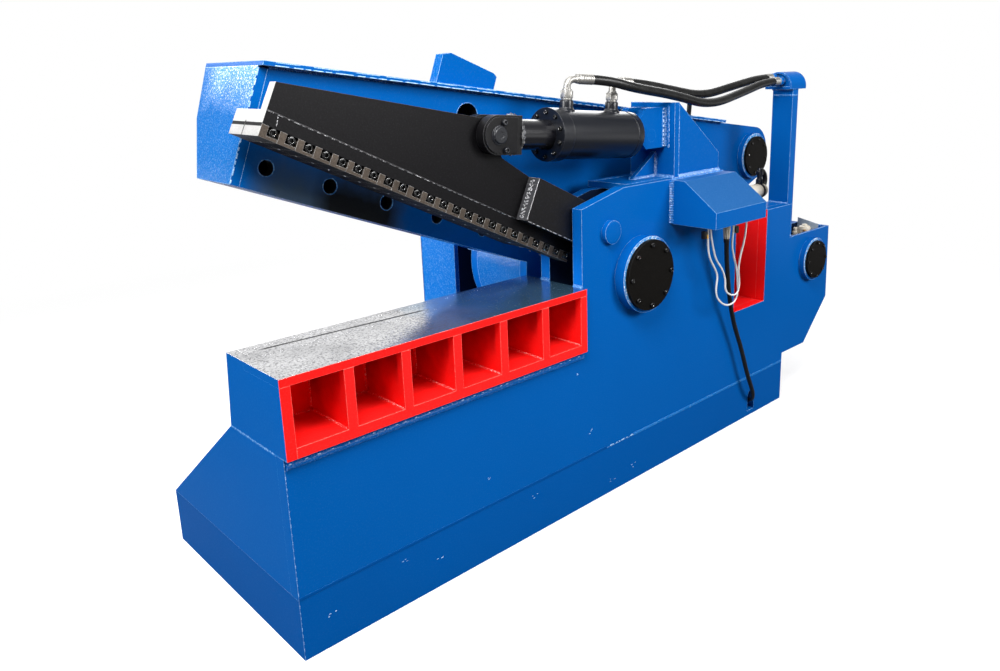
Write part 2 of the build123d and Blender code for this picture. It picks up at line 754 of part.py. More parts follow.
# Jaw outline: level cutting edge, straight rising top, round hub, rounded tail
TAIL_BACK_X = TAIL_PIN_X + TAIL_LENGTH
TAIL_BACK_Y = TAIL_PIN_Y + TAIL_LENGTH * sin(JAW_OPEN)
TAIL_LOW_X = TAIL_PIN_X + TAIL_DROP * sin(JAW_OPEN) / 2
TAIL_LOW_Y = TAIL_PIN_Y - TAIL_DROP
TANGENT = atan2(TAIL_LOW_Y, TAIL_LOW_X) - acos(HUB_R / hypot(TAIL_LOW_X, TAIL_LOW_Y))
TANGENT_X = HUB_R * cos(TANGENT)
TANGENT_Y = HUB_R * sin(TANGENT)
LOW_SLOPE = (TAIL_LOW_Y - TANGENT_Y) / (TAIL_LOW_X - TANGENT_X)
BACK_RUN = -tan(JAW_OPEN)
CORNER_TOP_Y = (
    jaw_top(TAIL_BACK_X) - JAW_SLOPE * BACK_RUN * TAIL_BACK_Y
) / (1 - JAW_SLOPE * BACK_RUN)
CORNER_TOP_X = TAIL_BACK_X + BACK_RUN * (CORNER_TOP_Y - TAIL_BACK_Y)
CORNER_LOW_Y = (
    TAIL_LOW_Y + LOW_SLOPE * (TAIL_BACK_X - BACK_RUN * TAIL_BACK_Y - TAIL_LOW_X)
) / (1 - LOW_SLOPE * BACK_RUN)
CORNER_LOW_X = TAIL_BACK_X + BACK_RUN * (CORNER_LOW_Y - TAIL_BACK_Y)


BODY_FRONT = -JAW_REACH + JAW_FRONT_PLATE
BLADE_HOLE_FIRST = -JAW_REACH + BLADE_HOLE_SETBACK

with BuildPart() as jaw_near_plate:
    with BuildSketch(jaw_side(JAW_NEAR)) as near_outline:
        with BuildLine():
            Polyline(
                (BODY_FRONT, JAW_BOTTOM),
                (0, JAW_BOTTOM),
                (TANGENT_X, TANGENT_Y),
                (CORNER_LOW_X, CORNER_LOW_Y),
                (CORNER_TOP_X, CORNER_TOP_Y),
                (BODY_FRONT, jaw_top(BODY_FRONT)),
                close=True,
            )
        make_face()
        fillet(near_outline.vertices().sort_by(Axis.X)[-2:], TAIL_ROUND)
        Circle(HUB_R)
        Circle(HUB_TUBE_R + RUN_FIT, mode=Mode.SUBTRACT)
        with Locations((TAIL_PIN_X, TAIL_PIN_Y)):
            Circle(TAIL_PIN_R + RUN_FIT, mode=Mode.SUBTRACT)
        for hole in range(BLADE_HOLE_COUNT):
            with Locations((BLADE_HOLE_FIRST + hole * BLADE_BOLT_PITCH, BLADE_HOLE_LINE)):
                Circle(BLADE_HOLE_R, mode=Mode.SUBTRACT)
        with Locations((LIFT_HOLE_X, jaw_top(LIFT_HOLE_X) - LIFT_HOLE_DROP)):
            Circle(LIFT_HOLE_R, mode=Mode.SUBTRACT)
    extrude(amount=-JAW_PLATE)
jaw_near_plate.part.label = "jaw_near_plate"
export_step(jaw_near_plate.part, "parts/jaw_near_plate.step")

SLOPE_END = -HUB_R - JAW_FRONT_PLATE / 2
with BuildPart() as jaw_far_plate:
    with BuildSketch(jaw_side(JAW_FAR - JAW_PLATE)) as far_outline:
        with BuildLine():
            Polyline(
                (BODY_FRONT, JAW_KINK),
                (SLOPE_END, JAW_KINK),
                (SLOPE_END, JAW_BOTTOM),
                (0, JAW_BOTTOM),
                (TANGENT_X, TANGENT_Y),
                (CORNER_LOW_X, CORNER_LOW_Y),
                (CORNER_TOP_X, CORNER_TOP_Y),
                (BODY_FRONT, jaw_top(BODY_FRONT)),
                close=True,
            )
        make_face()
        fillet(far_outline.vertices().sort_by(Axis.X)[-2:], TAIL_ROUND)
        Circle(HUB_R)
        Circle(HUB_TUBE_R + RUN_FIT, mode=Mode.SUBTRACT)
        with Locations((TAIL_PIN_X, TAIL_PIN_Y)):
            Circle(TAIL_PIN_R + RUN_FIT, mode=Mode.SUBTRACT)
    extrude(amount=-JAW_PLATE)
jaw_far_plate.part.label = "jaw_far_plate"
export_step(jaw_far_plate.part, "parts/jaw_far_plate.step")

# Jaw cross plane: x to the far side from the near plate's face, y up in the jaw's frame
JAW_TIP = Plane(
    origin=(
        FRONT + PIVOT_X - JAW_REACH * cos(JAW_OPEN),
        NEAR + JAW_NEAR,
        PIVOT_Z + JAW_REACH * sin(JAW_OPEN),
    ),
    x_dir=(0, 1, 0),
    z_dir=(cos(JAW_OPEN), 0, -sin(JAW_OPEN)),
)
with BuildPart() as jaw_front_plate:
    with BuildSketch(JAW_TIP):
        with BuildLine():
            Polyline(
                (0, JAW_BOTTOM),
                (JAW_FOOT_WIDTH, JAW_BOTTOM),
                (JAW_WIDTH, JAW_KINK),
                (JAW_WIDTH + JAW_TOP_OVERHANG, JAW_FRONT_TOP),
                (0, JAW_FRONT_TOP),
                close=True,
            )
        make_face()
    extrude(amount=JAW_FRONT_PLATE)
jaw_front_plate.part.label = "jaw_front_plate"
export_step(jaw_front_plate.part, "parts/jaw_front_plate.step")

with BuildPart() as jaw_top_plate:
    with BuildSketch(jaw_side(JAW_NEAR - JAW_TOP_OVERHANG)):
        with BuildLine():
            Polyline(
                (-JAW_REACH, jaw_top(-JAW_REACH)),
                (JAW_TOP_END, jaw_top(JAW_TOP_END)),
                (JAW_TOP_END, jaw_top(JAW_TOP_END) + JAW_TOP_PLATE),
                (-JAW_REACH, jaw_top(-JAW_REACH) + JAW_TOP_PLATE),
                close=True,
            )
        make_face()
    extrude(amount=-(JAW_WIDTH + 2 * JAW_TOP_OVERHANG))
jaw_top_plate.part.label = "jaw_top_plate"
export_step(jaw_top_plate.part, "parts/jaw_top_plate.step")

# Bottom plate, slanted far plate and the cross wall that closes the box behind the hub
SLOPE_TOP = JAW_WIDTH - JAW_PLATE
SLOPE_FOOT = JAW_FOOT_WIDTH - JAW_PLATE
FOOT_LENGTH = JAW_REACH - JAW_FRONT_PLATE - HUB_R
WALL_X = HUB_R * 2
WALL_LOW = TANGENT_Y + LOW_SLOPE * (WALL_X - TANGENT_X)
with BuildPart() as jaw_bottom_plates:
    with BuildSketch(JAW_TIP.offset(JAW_FRONT_PLATE)):
        with Locations((JAW_PLATE, JAW_BOTTOM)):
            Rectangle(
                SLOPE_FOOT - JAW_PLATE, JAW_FOOT_PLATE, align=(Align.MIN, Align.MIN)
            )
    extrude(amount=FOOT_LENGTH)
    with BuildSketch(JAW_TIP.offset(JAW_FRONT_PLATE)):
        with BuildLine():
            Polyline(
                (SLOPE_FOOT, JAW_BOTTOM),
                (JAW_FOOT_WIDTH, JAW_BOTTOM),
                (JAW_WIDTH, JAW_KINK),
                (SLOPE_TOP, JAW_KINK),
                close=True,
            )
        make_face()
    extrude(amount=JAW_REACH - JAW_FRONT_PLATE + SLOPE_END)
    with BuildSketch(jaw_side(JAW_NEAR + JAW_PLATE)):
        with BuildLine():
            Polyline(
                (WALL_X, WALL_LOW + JAW_FOOT_PLATE),
                (WALL_X + JAW_FOOT_PLATE, WALL_LOW + JAW_FOOT_PLATE),
                (WALL_X + JAW_FOOT_PLATE, jaw_top(WALL_X + JAW_FOOT_PLATE)),
                (WALL_X, jaw_top(WALL_X)),
                close=True,
            )
        make_face()
    extrude(amount=-(JAW_WIDTH - 2 * JAW_PLATE))
jaw_bottom_plates.part.label = "jaw_bottom_plates"
export_step(jaw_bottom_plates.part, "parts/jaw_bottom_plates.step")

HUB_IN = JAW_WIDTH - 2 * JAW_PLATE
with BuildPart() as jaw_hub:
    with BuildSketch(jaw_side(JAW_NEAR)):
        Circle(HUB_TUBE_R)
        Circle(BUSH_R + RUN_FIT, mode=Mode.SUBTRACT)
    extrude(amount=-JAW_WIDTH)
    with BuildSketch(jaw_side(JAW_NEAR + JAW_PLATE)):
        Circle(HUB_R)
        Circle(HUB_R - HUB_RIM, mode=Mode.SUBTRACT)
    extrude(amount=-HUB_IN)
    with BuildSketch(jaw_side(JAW_MID - HUB_RIM / 2)):
        Circle(HUB_R - HUB_RIM / 2)
        Circle(HUB_TUBE_R - HUB_WALL / 2, mode=Mode.SUBTRACT)
    extrude(amount=-HUB_RIM)
jaw_hub.part.label = "jaw_hub"
export_step(jaw_hub.part, "parts/jaw_hub.step")

with BuildPart() as jaw_bush:
    with BuildSketch(jaw_side(JAW_NEAR)):
        Circle(BUSH_R)
        Circle(SHAFT_R + RUN_FIT, mode=Mode.SUBTRACT)
    extrude(amount=-JAW_WIDTH)
jaw_bush.part.label = "jaw_bush"
export_step(jaw_bush.part, "parts/jaw_bush.step")

STOP_X = STOP_SETBACK - JAW_REACH
STOP_END = STOP_X + STOP_LENGTH
with BuildPart() as stop_plate:
    with BuildSketch(jaw_side(JAW_NEAR + STOP_PLATE / 2)):
        with BuildLine():
            Polyline(
                (STOP_X, jaw_top(STOP_X) + JAW_TOP_PLATE),
                (STOP_END, jaw_top(STOP_END) + JAW_TOP_PLATE),
                (STOP_END, STOP_TOP - STOP_CHAMFER / 2),
                (STOP_END - STOP_CHAMFER, STOP_TOP),
                (STOP_X + 2 * STOP_CHAMFER, STOP_TOP),
                (STOP_X, STOP_TOP - STOP_CHAMFER),
                close=True,
            )
        make_face()
    extrude(amount=-STOP_PLATE)
stop_plate.part.label = "stop_plate"
export_step(stop_plate.part, "parts/stop_plate.step")

with BuildPart() as tail_pin:
    with BuildSketch(jaw_side(JAW_NEAR - TAIL_RING_DEPTH)):
        with Locations((TAIL_PIN_X, TAIL_PIN_Y)):
            Circle(TAIL_PIN_R)
    extrude(amount=-(JAW_WIDTH + 2 * TAIL_RING_DEPTH))
tail_pin.part.label = "tail_pin"
export_step(tail_pin.part, "parts/tail_pin.step")

with BuildPart() as tail_rings:
    with BuildSketch(jaw_side(JAW_NEAR)):
        with Locations((TAIL_PIN_X, TAIL_PIN_Y)):
            Circle(TAIL_RING_R)
            Circle(TAIL_PIN_R + RUN_FIT, mode=Mode.SUBTRACT)
    extrude(amount=TAIL_RING_DEPTH)
    with BuildSketch(jaw_side(JAW_FAR)):
        with Locations((TAIL_PIN_X, TAIL_PIN_Y)):
            Circle(TAIL_RING_R)
            Circle(TAIL_PIN_R + RUN_FIT, mode=Mode.SUBTRACT)
    extrude(amount=-TAIL_RING_DEPTH)
tail_rings.part.label = "tail_rings"
export_step(tail_rings.part, "parts/tail_rings.step")

with BuildPart() as tail_covers:
    with BuildSketch(jaw_side(JAW_NEAR - TAIL_RING_DEPTH)):
        with Locations((TAIL_PIN_X, TAIL_PIN_Y)):
            Circle(TAIL_COVER_R)
    extrude(amount=COVER_THICKNESS)
    with BuildSketch(jaw_side(JAW_FAR + TAIL_RING_DEPTH)):
        with Locations((TAIL_PIN_X, TAIL_PIN_Y)):
            Circle(TAIL_COVER_R)
    extrude(amount=-COVER_THICKNESS)
tail_covers.part.label = "tail_covers"
export_step(tail_covers.part, "parts/tail_covers.step")

# Main cylinder: barrel on trunnions, rod with an eye on the jaw's tail pin
PIN_X = PIVOT_X + TAIL_PIN_X * cos(JAW_OPEN) + TAIL_PIN_Y * sin(JAW_OPEN)
PIN_Z = PIVOT_Z - TAIL_PIN_X * sin(JAW_OPEN) + TAIL_PIN_Y * cos(JAW_OPEN)
MAIN_LENGTH = hypot(PIN_X - TRUNNION_X, PIN_Z - TRUNNION_Z)
MAIN_UP_X = (PIN_X - TRUNNION_X) / MAIN_LENGTH
MAIN_UP_Z = (PIN_Z - TRUNNION_Z) / MAIN_LENGTH


def main_end(distance):
    """Plane square to the main cylinder, a distance from its trunnion towards the jaw."""
    return Plane(
        origin=(
            FRONT + TRUNNION_X + distance * MAIN_UP_X,
            NEAR + JAW_MID,
            TRUNNION_Z + distance * MAIN_UP_Z,
        ),
        x_dir=(0, 1, 0),
        z_dir=(MAIN_UP_X, 0, MAIN_UP_Z),
    )


BORE_R = BARREL_R - BARREL_WALL
with BuildPart() as main_barrel:
    with BuildSketch(main_end(-BARREL_DOWN)):
        Circle(BARREL_R)
    extrude(amount=BARREL_DOWN + BARREL_UP)
    with BuildSketch(side(MID_AT + MOUTH_PLAY)):
        with Locations((TRUNNION_X, TRUNNION_Z)):
            Circle(TRUNNION_R + TRUNNION_BUSH)
    extrude(amount=-(MID_BAY - 2 * MOUTH_PLAY))
    with BuildSketch(side(INNER_AT)):
        with Locations((TRUNNION_X, TRUNNION_Z)):
            Circle(TRUNNION_R)
    extrude(amount=-(FAR_BAY_AT - INNER_AT))
    with BuildSketch(main_end(BARREL_CAP - BARREL_DOWN)):
        Circle(BORE_R)
    extrude(amount=BARREL_DOWN + BARREL_UP - BARREL_CAP - BARREL_GLAND, mode=Mode.SUBTRACT)
    with BuildSketch(main_end(0)):
        Circle(MAIN_ROD_R + RUN_FIT)
    extrude(amount=BARREL_UP, mode=Mode.SUBTRACT)
main_barrel.part.label = "main_barrel"
export_step(main_barrel.part, "parts/main_barrel.step")

PISTON_FOOT = BARREL_CAP - BARREL_DOWN + MOUTH_PLAY
with BuildPart() as main_rod:
    with BuildSketch(main_end(PISTON_FOOT)):
        Circle(BORE_R - RUN_FIT)
    extrude(amount=PISTON)
    with BuildSketch(main_end(PISTON_FOOT)):
        Circle(MAIN_ROD_R)
    extrude(amount=MAIN_LENGTH - PISTON_FOOT)
    with BuildSketch(side(JAW_MID - ROD_EYE_WIDTH / 2)):
        with Locations((PIN_X, PIN_Z)):
            Circle(ROD_EYE_R)
    extrude(amount=-ROD_EYE_WIDTH)
    with BuildSketch(side(JAW_MID - ROD_EYE_WIDTH / 2)):
        with Locations((PIN_X, PIN_Z)):
            Circle(TAIL_PIN_R + EYE_PLAY)
    extrude(amount=-ROD_EYE_WIDTH, mode=Mode.SUBTRACT)
main_rod.part.label = "main_rod"
export_step(main_rod.part, "parts/main_rod.step")

with BuildPart() as trunnion_bushes:
    with BuildSketch(side(INNER_AT)):
        with Locations((TRUNNION_X, TRUNNION_Z)):
            Circle(BUSH_SEAT_R - RUN_FIT)
            Circle(TRUNNION_R + RUN_FIT, mode=Mode.SUBTRACT)
    extrude(amount=-SIDE_PLATE)
    with BuildSketch(side(FAR_INNER_AT)):
        with Locations((TRUNNION_X, TRUNNION_Z)):
            Circle(BUSH_SEAT_R - RUN_FIT)
            Circle(TRUNNION_R + RUN_FIT, mode=Mode.SUBTRACT)
    extrude(amount=-SIDE_PLATE)
trunnion_bushes.part.label = "trunnion_bushes"
export_step(trunnion_bushes.part, "parts/trunnion_bushes.step")

# Clamp
HEAD_DX = RAM_HEAD_X - CLAMP_X
HEAD_DZ = RAM_HEAD_Z - CLAMP_Z
HEAD_X = HEAD_DX * cos(CLAMP_OPEN) - HEAD_DZ * sin(CLAMP_OPEN)
HEAD_Y = HEAD_DX * sin(CLAMP_OPEN) + HEAD_DZ * cos(CLAMP_OPEN)
with BuildPart() as clamp_web:
    with BuildSketch(clamp_side(CLAMP_WEB_AT)):
        with BuildLine():
            Polyline(
                (-CLAMP_REACH, CLAMP_FLANGE_TOP),
                (CLAMP_HUB_FRONT, CLAMP_FLANGE_TOP),
                (CLAMP_HUB_FRONT, CLAMP_HUB_TOP),
                (CLAMP_DIP_X, CLAMP_DIP_Y),
                (CLAMP_PEAK_X, CLAMP_PEAK_Y),
                (-CLAMP_REACH, CLAMP_NOSE),
                close=True,
            )
        make_face()
        with Locations((HEAD_X, HEAD_Y)):
            Circle(CLEVIS_PIN_R + CLEVIS_PLAY, mode=Mode.SUBTRACT)
    extrude(amount=-CLAMP_WEB)
clamp_web.part.label = "clamp_web"
export_step(clamp_web.part, "parts/clamp_web.step")

FLANGE_FOOT = CLAMP_FLANGE_TOP - CLAMP_FLANGE
FLANGE_SPLIT = CLAMP_HUB_END - CLAMP_WEB_AT
with BuildPart() as clamp_flange:
    with BuildSketch(clamp_side(CLAMP_WEB_AT)):
        with Locations((-CLAMP_REACH, FLANGE_FOOT)):
            Rectangle(CLAMP_REACH + CLAMP_NEAR_END, CLAMP_FLANGE, align=(Align.MIN, Align.MIN))
    extrude(amount=-FLANGE_SPLIT)
    with BuildSketch(clamp_side(CLAMP_HUB_END)):
        with Locations((-CLAMP_REACH, FLANGE_FOOT)):
            Rectangle(CLAMP_REACH + CLAMP_FAR_END, CLAMP_FLANGE, align=(Align.MIN, Align.MIN))
    extrude(amount=-(CLAMP_FLANGE_WIDTH - FLANGE_SPLIT))
clamp_flange.part.label = "clamp_flange"
export_step(clamp_flange.part, "parts/clamp_flange.step")

with BuildPart() as clamp_hub:
    with BuildSketch(clamp_side(CLAMP_HUB_AT)):
        with Locations((CLAMP_HUB_FRONT, CLAMP_FLANGE_TOP)):
            Rectangle(
                -CLAMP_HUB_FRONT,
                CLAMP_HUB_TOP - CLAMP_FLANGE_TOP,
                align=(Align.MIN, Align.MIN),
            )
        with Locations((0, (CLAMP_HUB_TOP + CLAMP_FLANGE_TOP) / 2)):
            Circle((CLAMP_HUB_TOP - CLAMP_FLANGE_TOP) / 2)
        Circle(CLAMP_PIN_R + RUN_FIT, mode=Mode.SUBTRACT)
    extrude(amount=-(CLAMP_HUB_END - CLAMP_HUB_AT))
clamp_hub.part.label = "clamp_hub"
export_step(clamp_hub.part, "parts/clamp_hub.step")

GRIP_FOOT = FLANGE_FOOT - GRIP_HEIGHT
GRIP_FAR_AT = CLAMP_WEB_AT + CLAMP_FLANGE_WIDTH - GRIP_FAR_WIDTH
with BuildPart() as grip_blocks:
    with BuildSketch(clamp_side(CLAMP_WEB_AT)):
        for grip in range(GRIP_COUNT):
            with Locations((grip * GRIP_PITCH - CLAMP_REACH, GRIP_FOOT)):
                Rectangle(GRIP_PITCH - GRIP_SLIT, GRIP_HEIGHT, align=(Align.MIN, Align.MIN))
    extrude(amount=-GRIP_WIDTH)
    with BuildSketch(clamp_side(GRIP_FAR_AT)):
        for grip in range(GRIP_FAR_COUNT):
            with Locations((grip * GRIP_PITCH - CLAMP_REACH, GRIP_FOOT)):
                Rectangle(GRIP_PITCH - GRIP_SLIT, GRIP_HEIGHT, align=(Align.MIN, Align.MIN))
    extrude(amount=-GRIP_FAR_WIDTH)
    with BuildSketch(clamp_side(CLAMP_WEB_AT + GRIP_WIDTH)):
        for grip in range(GRIP_FAR_COUNT):
            with Locations((grip * GRIP_PITCH - CLAMP_REACH, GRIP_FOOT)):
                Rectangle(GRIP_PITCH - GRIP_SLIT, GRIP_HEIGHT, align=(Align.MIN, Align.MIN))
    extrude(amount=-(GRIP_FAR_AT - GRIP_SLIT - CLAMP_WEB_AT - GRIP_WIDTH))
    with BuildSketch(clamp_side(CLAMP_WEB_AT)):
        for grip in range(GRIP_COUNT):
            with Locations(((grip + 1) * GRIP_PITCH - CLAMP_REACH, GRIP_FOOT + GRIP_LIP)):
                Rectangle(
                    GRIP_RECESS + GRIP_SLIT,
                    GRIP_HEIGHT - GRIP_LIP,
                    align=(Align.MAX, Align.MIN),
                )
    extrude(amount=-GRIP_RECESS_DEPTH, mode=Mode.SUBTRACT)
grip_blocks.part.label = "grip_blocks"
export_step(grip_blocks.part, "parts/grip_blocks.step")

SCREW_AT = CLAMP_WEB_AT + GRIP_RECESS_DEPTH
SCREW_X = GRIP_PITCH - GRIP_SLIT - GRIP_RECESS + GRIP_SCREW_R + MOUTH_PLAY
SCREW_Y = GRIP_FOOT + (GRIP_LIP + GRIP_HEIGHT) / 2
with BuildPart() as grip_screws:
    with BuildSketch(clamp_side(SCREW_AT)):
        for grip in range(GRIP_COUNT):
            with Locations((grip * GRIP_PITCH - CLAMP_REACH + SCREW_X, SCREW_Y)):
                Circle(GRIP_SCREW_R)
    extrude(amount=GRIP_SCREW)
grip_screws.part.label = "grip_screws"
export_step(grip_screws.part, "parts/grip_screws.step")

with BuildPart() as clamp_pin:
    with BuildSketch(side(-CLAMP_CAP)):
        with Locations((CLAMP_X, CLAMP_Z)):
            Circle(CLAMP_CAP_R)
    extrude(amount=-CLAMP_CAP)
    with BuildSketch(side(0)):
        with Locations((CLAMP_X, CLAMP_Z)):
            Circle(CLAMP_PIN_R)
    extrude(amount=-MID_AT)
clamp_pin.part.label = "clamp_pin"
export_step(clamp_pin.part, "parts/clamp_pin.step")

# Clamp cylinder
RAM_LENGTH = hypot(RAM_HEAD_X - RAM_TAIL_X, RAM_HEAD_Z - RAM_TAIL_Z)
RAM_DX = (RAM_HEAD_X - RAM_TAIL_X) / RAM_LENGTH
RAM_DZ = (RAM_HEAD_Z - RAM_TAIL_Z) / RAM_LENGTH


def ram_end(distance):
    """Plane square to the clamp cylinder, a distance from its tail pin towards the clevis."""
    return Plane(
        origin=(
            FRONT + RAM_TAIL_X + distance * RAM_DX,
            NEAR + WEB_MID,
            RAM_TAIL_Z + distance * RAM_DZ,
        ),
        x_dir=(0, 1, 0),
        z_dir=(RAM_DX, 0, RAM_DZ),
    )


def ram_side(distance, depth):
    """Side plane on the clamp cylinder's axis: x rearwards along it."""
    return Plane(
        origin=(
            FRONT + RAM_TAIL_X + distance * RAM_DX,
            NEAR + depth,
            RAM_TAIL_Z + distance * RAM_DZ,
        ),
        x_dir=(-RAM_DX, 0, -RAM_DZ),
        z_dir=(0, -1, 0),
    )


def ram_port(distance, rise):
    """Plane across a port of the clamp cylinder: x rearwards along the barrel."""
    return Plane(
        origin=(
            FRONT + RAM_TAIL_X + distance * RAM_DX + rise * RAM_DZ,
            NEAR + WEB_MID,
            RAM_TAIL_Z + distance * RAM_DZ - rise * RAM_DX,
        ),
        x_dir=(-RAM_DX, 0, -RAM_DZ),
        z_dir=(RAM_DZ, 0, -RAM_DX),
    )


RAM_BORE_R = RAM_R - RAM_WALL
with BuildPart() as clamp_barrel:
    with BuildSketch(ram_end(RAM_REAR)):
        Circle(RAM_R)
    extrude(amount=RAM_FRONT - RAM_REAR)
    for port in (PORT_FRONT, PORT_REAR):
        with BuildSketch(ram_port(port, RAM_BORE_R + RAM_WALL / 2)):
            Circle(PORT_BOSS_R)
        extrude(amount=PORT_BOSS_TOP - RAM_BORE_R - RAM_WALL / 2)
    with BuildSketch(ram_side(0, WEB_MID - RAM_EYE_WIDTH / 2)):
        Circle(RAM_EYE_R)
        with Locations((-RAM_REAR, 0)):
            Rectangle(RAM_REAR + RAM_CAP / 2, 2 * RAM_EYE_R, align=(Align.CENTER, Align.CENTER))
    extrude(amount=-RAM_EYE_WIDTH)
    with BuildSketch(ram_side(0, WEB_MID - RAM_EYE_WIDTH / 2)):
        Circle(RAM_PIN_R + RUN_FIT)
    extrude(amount=-RAM_EYE_WIDTH, mode=Mode.SUBTRACT)
    with BuildSketch(ram_end(RAM_REAR + RAM_CAP)):
        Circle(RAM_BORE_R)
    extrude(amount=RAM_FRONT - RAM_REAR - RAM_CAP, mode=Mode.SUBTRACT)
clamp_barrel.part.label = "clamp_barrel"
export_step(clamp_barrel.part, "parts/clamp_barrel.step")

with BuildPart() as clamp_gland:
    with BuildSketch(ram_end(RAM_FRONT)):
        Circle(GLAND_R)
        Circle(RAM_ROD_R + RUN_FIT, mode=Mode.SUBTRACT)
    extrude(amount=GLAND)
clamp_gland.part.label = "clamp_gland"
export_step(clamp_gland.part, "parts/clamp_gland.step")

CLEVIS_END = CLEVIS_SLOT + CLEVIS_BASE
RAM_PISTON_AT = RAM_REAR + RAM_CAP + MOUTH_PLAY
with BuildPart() as clamp_rod:
    with BuildSketch(ram_end(RAM_PISTON_AT)):
        Circle(RAM_BORE_R - RUN_FIT)
    extrude(amount=RAM_PISTON)
    with BuildSketch(ram_end(RAM_PISTON_AT + RAM_PISTON)):
        Circle(RAM_ROD_R)
    extrude(amount=RAM_LENGTH - CLEVIS_END - RAM_PISTON_AT - RAM_PISTON)
clamp_rod.part.label = "clamp_rod"
export_step(clamp_rod.part, "parts/clamp_rod.step")

CLEVIS_AT = WEB_MID - CLEVIS_GAP / 2 - CLEVIS_EAR
CLEVIS_WIDTH = CLEVIS_GAP + 2 * CLEVIS_EAR
with BuildPart() as clamp_clevis:
    with BuildSketch(ram_side(RAM_LENGTH, CLEVIS_AT)):
        Circle(CLEVIS_R)
        Rectangle(CLEVIS_END, 2 * CLEVIS_R, align=(Align.MIN, Align.CENTER))
        Circle(CLEVIS_PIN_R + RUN_FIT, mode=Mode.SUBTRACT)
    extrude(amount=-CLEVIS_WIDTH)
    with BuildSketch(ram_side(RAM_LENGTH, CLEVIS_AT + CLEVIS_EAR)):
        Rectangle(2 * CLEVIS_SLOT, 4 * CLEVIS_R)
    extrude(amount=-CLEVIS_GAP, mode=Mode.SUBTRACT)
    with BuildSketch(ram_side(RAM_LENGTH, CLEVIS_AT + CLEVIS_EAR)):
        with Locations((CLEVIS_SLOT, -CLEVIS_R)):
            Rectangle(2 * CLEVIS_BASE, 2 * (CLEVIS_R - RAM_ROD_R))
    extrude(amount=-CLEVIS_GAP, mode=Mode.SUBTRACT)
clamp_clevis.part.label = "clamp_clevis"
export_step(clamp_clevis.part, "parts/clamp_clevis.step")

with BuildPart() as clevis_pin:
    with BuildSketch(ram_side(RAM_LENGTH, CLEVIS_AT - MOUTH_PLAY)):
        Circle(CLEVIS_PIN_R)
    extrude(amount=-(CLEVIS_WIDTH + 2 * MOUTH_PLAY))
clevis_pin.part.label = "clevis_pin"
export_step(clevis_pin.part, "parts/clevis_pin.step")


def elbow_at(port, turn):
    """Middle line of an elbow: up from the port, then rearwards, turned to the near side."""
    foot = ram_port(port, PORT_NUT_TOP)
    top = ram_port(port, PORT_RISE)
    away = top.x_dir * cos(turn) - Vector(0, 1, 0) * sin(turn)
    return FilletPolyline(
        foot.origin, top.origin, top.origin + away * ELBOW_REACH, radius=ELBOW_BEND
    )


with BuildPart() as port_fittings:
    for port, turn in ((PORT_FRONT, ELBOW_TURN), (PORT_REAR, 0)):
        with BuildSketch(ram_port(port, PORT_BOSS_TOP)):
            RegularPolygon(PORT_NUT_R, 6)
        extrude(amount=PORT_NUT_TOP - PORT_BOSS_TOP)
        with BuildLine() as elbow:
            elbow_at(port, turn)
        with BuildSketch(ram_port(port, PORT_NUT_TOP)):
            Circle(ELBOW_R)
        sweep(path=elbow.wires()[0])
        with BuildSketch(Plane(origin=elbow.line @ 1, z_dir=elbow.line % 1)):
            Circle(FERRULE_R)
        extrude(amount=-FERRULE)
port_fittings.part.label = "port_fittings"
export_step(port_fittings.part, "parts/port_fittings.step")

with BuildPart() as ram_tail_pin:
    with BuildSketch(side(WEB_MID - LUG_GAP / 2 - LUG)):
        with Locations((RAM_TAIL_X, RAM_TAIL_Z)):
            Circle(RAM_PIN_R)
    extrude(amount=-(LUG_GAP + 2 * LUG))
ram_tail_pin.part.label = "ram_tail_pin"
export_step(ram_tail_pin.part, "parts/ram_tail_pin.step")

# Bracket behind the clamp cylinder
with BuildPart() as bracket_plate:
    with BuildSketch(across(BRACKET_X)):
        with Locations((BRACKET_AT, COLUMN_TOP)):
            Rectangle(BRACKET_WIDTH, BRACKET_TOP - COLUMN_TOP, align=(Align.MIN, Align.MIN))
    extrude(amount=BRACKET_PLATE)
bracket_plate.part.label = "bracket_plate"
export_step(bracket_plate.part, "parts/bracket_plate.step")

CHEEK_X = BRACKET_X + BRACKET_PLATE
with BuildPart() as bracket_stiffeners:
    for cheek_at in (BRACKET_AT, BRACKET_AT + BRACKET_WIDTH - CHEEK):
        with BuildSketch(side(cheek_at)):
            with BuildLine():
                Polyline(
                    (CHEEK_X, COLUMN_TOP),
                    (CHEEK_X + CHEEK_RUN, COLUMN_TOP),
                    (CHEEK_X + CHEEK_RUN, COLUMN_TOP + CHEEK_FOOT),
                    (CHEEK_X, BRACKET_TOP - MOUTH_PLAY),
                    close=True,
                )
            make_face()
        extrude(amount=-CHEEK)
    with BuildSketch(side(WEB_MID - GUSSET / 2)):
        with BuildLine():
            Polyline(
                (BRACKET_X, COLUMN_TOP),
                (BRACKET_X, COLUMN_TOP + GUSSET_RISE),
                (BRACKET_X - GUSSET_RUN, COLUMN_TOP),
                close=True,
            )
        make_face()
    extrude(amount=-GUSSET)
bracket_stiffeners.part.label = "bracket_stiffeners"
export_step(bracket_stiffeners.part, "parts/bracket_stiffeners.step")

